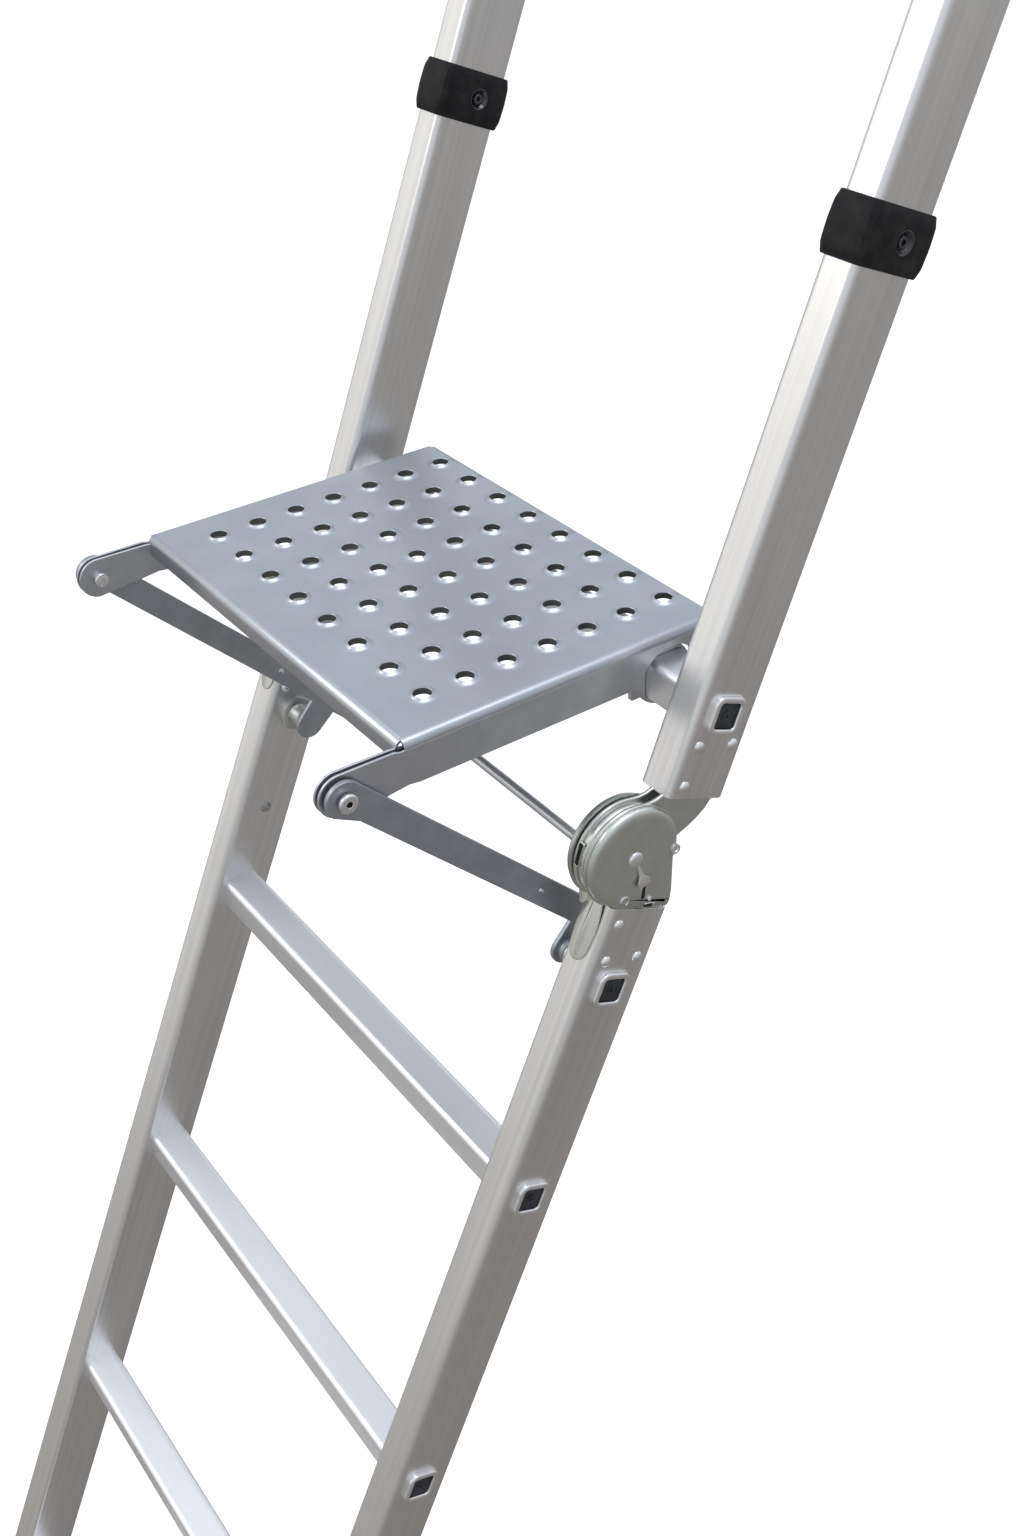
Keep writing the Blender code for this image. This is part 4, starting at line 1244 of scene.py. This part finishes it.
@dataclass
class PostTops:
    """Collars with their screws, and end caps."""

    palette: Palette
    rails: Rails
    wall: float = 4.6 * MM
    height: float = 39.0 * MM
    joint: float = 0.4225
    screw_back: float = 30.0 * MM
    seat: float = 7.8 * MM

    def collar(self, side: Side) -> None:
        """A barrel-shaped collar with a wide slope at its top and bottom."""
        rails = self.rails
        middle = (rails.middle(side), rails.upper_front + rails.depth / 2)
        outline = rounded_box(middle, (rails.width + 2 * self.wall, rails.depth + 2 * self.wall), 7.5 * MM, 3)
        half = self.height / 2
        rows = [
            (5.6, 0.0), (3.3, 0.0), (2.6, 0.3), (2.2, 0.9), (0.85, 5.6), (0.55, 6.6), (0.25, 11.0),
            (0.0, 18.0),
        ]
        under, over = raised(rows, self.joint - half), raised(rows, self.joint + half, -1)[::-1]
        skin = Skin(f"collar_{side.word}")
        skin.slab(stile_place(UPPER_LEAN), [outline], [np.vstack([under, over])])
        node = f"post_collar_{side.word}"
        made = skin.build([self.palette.black], Body.UPPER, [node], "black_plastic", sharp=24)
        drill = Skin("drill")
        deep, clear = -3.4 * MM, 4 * MM
        shape = [(0, deep), (self.seat, deep), (self.seat, clear), (0, clear)]
        drill.turned(self.seat_place(side), shape, 48)
        carve(made, drill)

    def seat_place(self, side: Side) -> Place:
        """The middle of the screw's seat on the collar's right face, in (back, up, out)."""
        rails = self.rails
        face = rails.middle(side) + rails.width / 2 + self.wall
        back, up = lean_directions(UPPER_LEAN)
        away = rails.upper_front + self.screw_back
        point = np.array(hinge_line()) + np.array(back) * away + np.array(up) * self.joint
        return Place((face, float(point[1]), float(point[2])), back, up, ACROSS)

    def screw(self, side: Side) -> None:
        """A set screw in a glossy round seat sunk in the collar, with a hexagon socket."""
        place = self.seat_place(side)
        skin = Skin(f"set_screw_{side.word}")
        lip = np.array([(0.1, -3.6), (0.1, 0.05), (-0.3, 0.2), (-0.9, -0.2), (-1.7, -1.5)]) * MM
        bottom = raised([(4.8, -2.7), (4.3, -3.1), (0, -3.1), (0, -3.6)], 0.0)
        skin.turned(place, np.vstack([lip + [self.seat, 0.0], bottom]), 48)
        head, hexagon = circle((0, 0), 4.0 * MM, 36), circle((0, 0), 2.1 * MM, 6)
        edges = [rim(-3.3 * MM, -0.9 * MM, 1.1 * MM, 4), rim(-3.3 * MM, -0.9 * MM, 0.2 * MM, 1)]
        skin.slab(place, [head, hexagon], edges, slot=1)
        skin.turned(place, raised([(0, -2.9), (2.0, -2.9), (2.0, -3.3), (0, -3.3)], 0.0), 24, slot=2)
        finishes = [self.palette.gloss_black, self.palette.dark, self.palette.hollow]
        skin.build(finishes, Body.UPPER, [f"collar_screw_{side.word}"], "dark_steel")

    def cap(self, side: Side) -> None:
        """A soft-edged end cap."""
        rails = self.rails
        middle = (rails.middle(side), rails.upper_front + rails.depth / 2)
        outline = rounded_box(middle, (rails.width, rails.depth), rails.corner, 8)
        top = rails.extension_span[1]
        edge = np.vstack([rim(top + 0.3 * MM, top + 6.0 * MM, 1.8 * MM, 5), [[6.0 * MM, top + 6.4 * MM]]])
        skin = Skin(f"end_cap_{side.word}")
        skin.slab(stile_place(UPPER_LEAN), [outline], [edge])
        skin.build([self.palette.black], Body.UPPER, [f"post_cap_{side.word}"], "black_plastic")

    def build(self) -> None:
        """Makes both sides."""
        for side in Side:
            self.collar(side)
            self.screw(side)
            self.cap(side)


# ---- platform ----------------------------------------------------------------------------


@dataclass
class Platform:
    """The perforated deck with its bends, flanges and ears, and the hardware it turns on."""

    palette: Palette
    half_width: float = 181.0 * MM
    front: float = -260.6 * MM
    back: float = 1.4 * MM
    sheet: float = 2.0 * MM
    bend: float = 6.0 * MM
    flange: float = 34.0 * MM
    lip: float = 16.0 * MM
    ear_radius: float = 15.5 * MM
    columns: int = 8
    rows: int = 7
    pitch: tuple[float, float] = (40.5 * MM, 33.5 * MM)
    first_row: float = -217.6 * MM
    hole: float = 6.3 * MM

    def bend_section(self) -> Array:
        """The closed section of a quarter bend in (out, up): its outer corner would be at (0, 0)."""
        r, t = self.bend, self.sheet
        return np.vstack([arc((-r, -r), r, 90, 0, 13), arc((-r, -r), r - t, 0, 90, 13)])

    def deck(self) -> None:
        """The flat top with a raised rim round each hole, its bends and lips.

        Each rim is a ring of circles round a hole's centre whose height rises from the sheet to
        a narrow lip and then turns down into the hole.
        """
        skin = Skin("deck")
        flat = Place((0.0, 0.0, 0.0), ACROSS, AWAY, UPWARD)
        r = self.bend
        inner, front, back = self.half_width - r, self.front + r, self.back - r
        corners = [(inner, front), (inner, back), (-inner, back), (-inner, front)]
        outline = rounded(corners, 0.3 * MM, 2)
        x = (np.arange(self.columns) - (self.columns - 1) / 2) * self.pitch[0]
        y = self.first_row + np.arange(self.rows) * self.pitch[1]
        middles = np.stack(np.meshgrid(x, y), -1).reshape(-1, 2)
        holes = list(circle((0, 0), self.hole, 36)[None] + middles[:, None])
        under = np.array([(6.2, -2.0), (5.8, -2.0), (2.2, -2.1), (1.0, -2.5), (0.45, -3.2), (0.3, -3.2)]) * MM
        over = np.array([
            (0.0, 1.5), (0.08, 1.8), (0.3, 2.0), (0.62, 1.95), (1.2, 1.5), (2.0, 0.9), (3.0, 0.4), (4.2, 0.1),
            (5.4, 0.0), (5.8, 0.0),
        ]) * MM
        wall = np.array([(0.3, -3.2), (0.0, -2.9), (0.0, 1.5)]) * MM
        plain = np.array([(0.5, -2.0), (0, -2.0), (0, 0), (0.5, 0)]) * MM
        self.sheet_with_holes(skin, flat, outline, holes, plain, (under, wall, over))
        section = self.bend_section()
        for sign in (-1, 1):
            edge = (sign * self.half_width, 0.0, 0.0)
            place = Place(edge, (float(sign), 0.0, 0.0), UPWARD, (0.0, -1.0, 0.0))
            skin.slab(place, [section], [np.array([(0.0, -self.back + r), (0.0, -self.front - r * 0.7)])])
        reach = inner - 1.0 * MM
        front_place = Place((0.0, self.front, 0.0), (0.0, -1.0, 0.0), UPWARD, ACROSS)
        skin.slab(front_place, [self.lipped(self.lip)], [rim(-reach - r * 0.4, reach + r * 0.4, 0.3 * MM, 2)])
        back_place = Place((0.0, self.back, 0.0), AWAY, UPWARD, ACROSS)
        skin.slab(back_place, [self.lipped(9.0 * MM)], [rim(-reach, reach, 0.3 * MM, 2)])
        # The second finish is the hole walls' near black: their darker cut edge plus painted shade.
        finishes = [self.palette.deck, self.palette.hole_edge]
        skin.build(finishes, Body.PLATFORM, ["platform_deck"], "deck_steel", sharp=50)

    @staticmethod
    def sheet_with_holes(
        skin: Skin, place: Place, outline: Array, holes: Sequence[Array], side: Array, parts: Sequence[Array]
    ) -> None:
        """A sheet whose holes have a formed edge in three parts: below, the wall and above.

        Args:
            skin: The piece it is added to.
            place: The directions the outlines are drawn in.
            outline: The sheet's outline.
            holes: The holes' outlines.
            side: The sheet's outer edge as (inset, height) pairs.
            parts: The formed edge of a hole as three runs of pairs; the wall has the second finish, near
                black for its bare cut edge and for painted shade inside the hole.
        """
        below, above = [], []
        loops = [(outline, [side], [0])] + [(hole, list(parts), [0, 1, 0]) for hole in holes]
        for number, (loop, runs, slots) in enumerate(loops):
            away = outward(loop) * (-1 if number else 1)
            for run, slot in zip(runs, slots):
                ring = loop[None] - run[:, 0, None, None] * away[None]
                height = np.broadcast_to(run[:, 1, None, None], (*ring.shape[:2], 1))
                skin.grid(place.to_row(np.concatenate([ring, height], 2)), slot=slot)
            below.append(loop - runs[0][0, 0] * away)
            above.append(loop - runs[-1][-1, 0] * away)
        skin.cap(place, below, float(side[0, 1]))
        skin.cap(place, above, float(side[-1, 1]))

    def lipped(self, depth: float) -> Array:
        """A bend's section with its straight lip down to a depth.

        Args:
            depth: How far below the deck's top the lip ends.

        Returns:
            The closed outline in (out, up).
        """
        r, t = self.bend, self.sheet
        outside = arc((-r, -r), r, 90, 0, 13)
        inside = arc((-r, -r), r - t, 0, 90, 13)
        end = arc((-t / 2, -depth + t / 2), t / 2, 0, -180, 9)
        return np.vstack([outside, end, inside])

    def flange_outline(self, ear: tuple[float, float], rung: tuple[float, float]) -> Array:
        """A side flange in (away, up): the round ear, the lower edge with a saddle over the rung, the back.

        Args:
            ear: The ear bolt's middle.
            rung: The rung's middle.

        Returns:
            The outline.
        """
        bottom = -self.flange
        nose = arc(ear, self.ear_radius, 84, 262, 40)
        sweep = np.array([
            (self.front - 14 * MM, ear[1] - self.ear_radius), (self.front + 6 * MM, bottom + 1.2 * MM),
            (self.front + 14 * MM, bottom),
        ])
        saddle = arc(rung, 24.9 * MM, 178, 2, 28)
        saddle[:, 1] = np.maximum(saddle[:, 1], bottom)
        tail = np.array([(self.back, bottom + 4 * MM), (self.back, -self.bend)])
        head = np.array([
            (self.front + self.bend * 1.2, -self.bend), (self.front + 1.0 * MM, -self.bend),
            (self.front - 3.5 * MM, -4.6 * MM),
        ])
        return np.vstack([nose, sweep, saddle, tail, head])

    def flanges(self, side: Side) -> None:
        """One side flange with its ear, and the second layer behind the ear."""
        ear = centre_of(f"ear_bolt_{side.word}")
        rung = centre_of("platform_rung")
        place = Place((0.0, 0.0, 0.0), AWAY, UPWARD, (float(side.value), 0.0, 0.0))
        outline = self.flange_outline((ear[1], ear[2]), (rung[1], rung[2]))
        skin = Skin(f"flange_{side.word}")
        skin.slab(place, [outline], [rim(self.half_width - self.sheet, self.half_width, 0.55 * MM, 3)])
        skin.build([self.palette.flange], Body.PLATFORM, slot="deck_steel", sharp=50)
        low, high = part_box(f"ear_plate_{side.word}")
        end = self.front + 16 * MM
        nose = arc((ear[1], ear[2]), self.ear_radius, 84, 264, 40)
        tail = np.array([(-6.0, -29.0), (0.0, -27.0), (0.0, -9.0), (-4.0, -7.0)]) * MM + [end, 0.0]
        layer = np.vstack([nose, tail, [(self.front - 3.5 * MM, -5.0 * MM)]])
        second = Skin(f"ear_layer_{side.word}")
        faces = sorted((abs(low.x), abs(high.x)))
        second.slab(place, [layer], [rim(faces[0], faces[1], 0.6 * MM, 3)])
        second.build([self.palette.flange], Body.PLATFORM, [f"ear_plate_{side.word}"], "deck_steel", sharp=50)

    def hardware(self, side: Side) -> None:
        """The ear bolt with its socket head, and the bush on the rung."""
        word = side.word
        low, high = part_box(f"ear_bolt_{word}")
        ear = centre_of(f"ear_bolt_{word}")
        out = (float(side.value), 0.0, 0.0)
        place = Place((0.0, ear[1], ear[2]), AWAY, UPWARD, out)
        inner, outer = sorted((abs(low.x), abs(high.x)))
        skin = Skin(f"ear_screw_{word}")
        top = outer + 0.8 * MM
        under = outer - 3.4 * MM
        hexagon = circle((0, 0), 2.4 * MM, 6)
        edges = [rim(under, top, 1.6 * MM, 5), rim(under, top, 0.2 * MM, 1)]
        skin.slab(place, [circle((0, 0), 6.9 * MM, 40), hexagon], edges)
        skin.turned(place, raised([(0, 0.6), (2.3, 0.6), (2.3, -1.0), (0, -1.0)], under), 24, slot=1)
        tail = raised([(0, -1.4), (3.0, -1.3), (5.2, -0.6), (5.6, 0.2), (4.0, 0.4)], inner)
        skin.turned(place, np.vstack([tail, raised([(4.0, 0.0), (0, 0.0)], under)]), 36)
        skin.build([self.palette.bright, self.palette.hollow], Body.PLATFORM, [f"ear_bolt_{word}"], "zinc")
        low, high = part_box(f"rung_bush_{word}")
        rung = centre_of("platform_rung")
        near = min(abs(low.x), abs(high.x))
        bush = Skin(f"rung_sleeve_{word}")
        at = Place((0.0, rung[1], rung[2]), AWAY, UPWARD, out)
        ring = [circle((0, 0), 23.4 * MM, 64), rounded_box((0, 0), (32.6 * MM,) * 2, 5.4 * MM, 6)]
        flush = near + 5.2 * MM
        bush.slab(at, ring, [rim(near, flush, 1.2 * MM, 4), rim(near, flush, 0.3 * MM, 1)])
        bush.build([self.palette.flange], Body.UPPER, [f"rung_bush_{word}"], "nylon")

    def build(self) -> None:
        """Makes the deck, and the flanges and hardware of both sides."""
        self.deck()
        for side in Side:
            self.flanges(side)
            self.hardware(side)


# ---- struts ------------------------------------------------------------------------------


@dataclass
class Struts:
    """The flat bars from the ears to the anchors behind the stiles."""

    palette: Palette
    rails: Rails
    width: float = 27.0 * MM
    slope: float = math.radians(45.5)
    tail: float = 318.0 * MM
    hole: float = 203.0 * MM
    foot: float = 12.5 * MM

    def bar(self, side: Side) -> None:
        """The bar: a round ear end, a straight run, a lobe round the anchor and a tail with cut corners."""
        word = side.word
        ear = np.array(centre_of(f"ear_bolt_{word}"))
        anchor = np.array(centre_of(f"strut_anchor_{word}"))
        direction = (0.0, math.cos(self.slope), -math.sin(self.slope))
        across = (0.0, math.sin(self.slope), math.cos(self.slope))
        place = Place((0.0, float(ear[1]), float(ear[2])), direction, across, (float(side.value), 0.0, 0.0))
        offset = anchor - ear
        at = np.array([offset @ np.array(direction), offset @ np.array(across)])
        half, tail, under = self.width / 2, self.tail, -7.5 * MM
        nose = arc((0, 0), half, 90, 270, 32)
        lobe = arc(at, self.foot, 180, 360, 32)
        corners = [
            (tail - 5 * MM, under), (tail, under + 3 * MM), (tail, half - 3 * MM), (tail - 5 * MM, half),
            (30 * MM, half), (30 * MM, 0),
        ]
        end = rounded(corners, 0.8 * MM, 3)
        before, after = ((at[0] + step * (self.foot + 1 * MM), under) for step in (-1, 1))
        bottom = [[(20 * MM, under), before], lobe[lobe[:, 1] < under], [after]]
        outline = np.vstack([nose, *bottom, end[end[:, 0] > 50 * MM]])
        low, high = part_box(f"strut_{word}")
        faces = sorted((abs(low.x), abs(high.x)))
        start = faces[0]
        skin = Skin(f"strut_bar_{word}")
        thick = 4.0 * MM
        seat = start + thick - 0.4 * MM
        small = circle((self.hole, 3 * MM), 2.6 * MM, 24)
        edges = [rim(start, start + thick, soft * MM, steps) for soft, steps in ((0.7, 3), (0.25, 2))]
        skin.slab(place, [outline, small], edges)
        skin.turned(
            Place(tuple(place.to_row(np.array([*at, 0.0]))), place.first, place.second, place.third),
            np.vstack([[(0, seat), (8.8 * MM, seat)], raised([(8.8, -0.6), (8.2, 0), (0, 0)], faces[1])]), 32,
        )
        body = Body.STRUT_LEFT if side is Side.LEFT else Body.STRUT_RIGHT
        skin.build([self.palette.strut], body, [f"strut_{word}"], "strut_steel", sharp=50)

    def build(self) -> None:
        """Makes both bars."""
        for side in Side:
            self.bar(side)


# ---- feet and hidden parts ---------------------------------------------------------------


@dataclass
class CarriedOver:
    """Frame nodes whose shape is right: they keep it and get a finish."""

    palette: Palette

    def dress(self, node: str, finish: bpy.types.Material) -> None:
        """Gives every slot of a node one finish."""
        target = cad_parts[node]
        for holder in target.material_slots:
            holder.material = finish
        log.info("%s: kept, dressed in %s", node, finish.name)

    def build(self) -> None:
        """Dresses the nodes that are still shown."""
        finishes = {
            "foot": self.palette.black,
            "post_spigot": self.palette.upper_stile,
            "strut_anchor": self.palette.bright,
            "platform_hook": self.palette.flange,
        }
        for node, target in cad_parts.items():
            if target.hide_render:
                continue
            found = (made for start, made in finishes.items() if node.startswith(start))
            finish = next(found, self.palette.zinc)
            self.dress(node, finish)


# ---- studio ------------------------------------------------------------------------------


@dataclass
class Studio:
    """The floor, the soft light around the ladder and the camera."""

    spot: tuple[float, float, float] = (0.9591, -0.7014, 0.6036)
    turn: tuple[float, float, float] = (0.95955, 0.03332, 0.95401)
    lens: float = 40.704
    floor_size: float = 60.0

    def camera(self) -> None:
        """The camera's place, turn and lens."""
        data = bpy.data.cameras.new("camera")
        data.lens = self.lens
        data.sensor_width = 36.0
        data.clip_start = 0.02
        data.clip_end = 200.0
        made = bpy.data.objects.new("camera", data)
        made.location = self.spot
        made.rotation_euler = Euler(self.turn, "XYZ")
        bpy.context.scene.collection.objects.link(made)
        bpy.context.scene.camera = made

    def floor(self) -> None:
        """A plain pale floor under the feet."""
        level = min(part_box(f"foot_{side.word}")[0].z for side in Side)
        size = self.floor_size
        points = np.stack(np.meshgrid([-size, size], [-size, size]), -1).reshape(-1, 2)
        mesh = bpy.data.meshes.new("floor")
        mesh.from_pydata(np.column_stack([points, np.full(4, level)]).tolist(), [], [(0, 1, 3, 2)])
        made = bpy.data.objects.new("floor", mesh)
        bpy.context.scene.collection.objects.link(made)
        finish = bpy.data.materials.new("pale_floor")
        finish.use_nodes = True
        shader = finish.node_tree.nodes["Principled BSDF"]
        shader.inputs["Base Color"].default_value = (0.9, 0.9, 0.9, 1)
        shader.inputs["Roughness"].default_value = 0.9
        shader.inputs["Emission Color"].default_value = (1, 1, 1, 1)
        shader.inputs["Emission Strength"].default_value = 0.45
        mesh.materials.append(finish)
        made.visible_glossy = False

    def surroundings(self) -> None:
        """Soft light from every direction: bluish above, warm and dim below, brightest at the front left.

        The camera itself sees plain white.
        """
        world = bpy.data.worlds.new("studio")
        world.use_nodes = True
        world.node_tree.nodes.clear()
        bpy.context.scene.world = world
        nodes = Nodes(world.node_tree)
        toward = nodes.node("ShaderNodeTexCoord").outputs["Generated"]
        height = Value(nodes, nodes.node("ShaderNodeSeparateXYZ", sockets={0: toward}).outputs[2])
        stops = [
            (0.0, (0.25, 0.235, 0.22)), (0.12, (0.27, 0.25, 0.235)), (0.33, (0.39, 0.375, 0.36)),
            (0.47, (0.54, 0.54, 0.54)), (0.62, (0.70, 0.725, 0.77)), (0.8, (0.74, 0.78, 0.85)),
            (1.0, (0.78, 0.82, 0.9)),
        ]
        ramp = nodes.node("ShaderNodeValToRGB", {"stops": stops}, {"Fac": height * 0.5 + 0.5})
        lobe = self.lobe(nodes, toward, (-0.7, -0.62, 0.36), 0.7, 1.0)
        dim = self.lobe(nodes, toward, (0.86, 0.3, -0.4), 0.35, 1.0)
        lit = nodes.mix(lobe, ramp.outputs[0], (0.93, 0.92, 0.905))
        shaded = nodes.mix(dim * 0.35, lit, (0.2, 0.2, 0.21))
        seen = Value(nodes, nodes.node("ShaderNodeLightPath").outputs["Is Camera Ray"])
        colour = nodes.mix(seen, shaded, (1.0, 1.0, 1.0))
        light = nodes.node("ShaderNodeBackground", sockets={"Color": colour, "Strength": 1.0})
        nodes.node("ShaderNodeOutputWorld", sockets={"Surface": light.outputs[0]})

    @staticmethod
    def lobe(nodes: Nodes, toward: Any, direction: Sequence[float], low: float, high: float) -> Value:
        """How close a direction is to another, from 0 to 1.

        Args:
            nodes: The world's nodes.
            toward: The direction looked in.
            direction: The middle of the lobe.
            low: The cosine at which it is 0.
            high: The cosine at which it is 1.

        Returns:
            The share.
        """
        unit = np.array(direction) / np.linalg.norm(direction)
        made = nodes.node("ShaderNodeVectorMath", {"operation": "DOT_PRODUCT"}, {0: toward, 1: tuple(unit)})
        return Value(nodes, made.outputs["Value"]).band(low, high)

    def lamp(
        self, name: str, spot: Sequence[float], aim: Sequence[float], size: float, power: float,
        colour: Colour,
    ) -> None:
        """A large soft lamp.

        Args:
            name: Its name.
            spot: Where it is.
            aim: The point it faces.
            size: Its side.
            power: Its power in watts.
            colour: Its colour.
        """
        data = bpy.data.lights.new(name, "AREA")
        data.shape = "SQUARE"
        data.size = size
        data.energy = power
        data.color = colour
        made = bpy.data.objects.new(name, data)
        made.location = spot
        made.rotation_euler = (Vector(aim) - Vector(spot)).to_track_quat("-Z", "Y").to_euler()
        bpy.context.scene.collection.objects.link(made)

    def build(self) -> None:
        """Sets up the view, the floor and the light."""
        self.camera()
        self.floor()
        self.surroundings()
        self.lamp("front_lamp", (-1.6, -2.4, 2.2), (0.0, -0.1, 0.0), 1.6, 26, (1.0, 0.99, 0.97))
        self.lamp("top_lamp", (0.4, 0.2, 3.0), (0.0, -0.1, 0.0), 1.8, 30, (0.95, 0.98, 1.0))
        bpy.context.scene.view_settings.view_transform = "Standard"


# ---- the whole ladder --------------------------------------------------------------------


def main() -> None:
    """Builds the ladder in order and reports each piece."""
    logging.basicConfig(level=logging.INFO, format="%(message)s")
    Studio().build()
    palette = Palette()
    rails = Rails(palette)
    for group in (
        rails, Rungs(palette, rails), Hinges(palette, rails), Release(palette, rails),
        PostTops(palette, rails), Platform(palette), Struts(palette, rails), CarriedOver(palette),
    ):
        group.build()
        log.info("%s built", type(group).__name__)


if __name__ == "__main__":
    main()
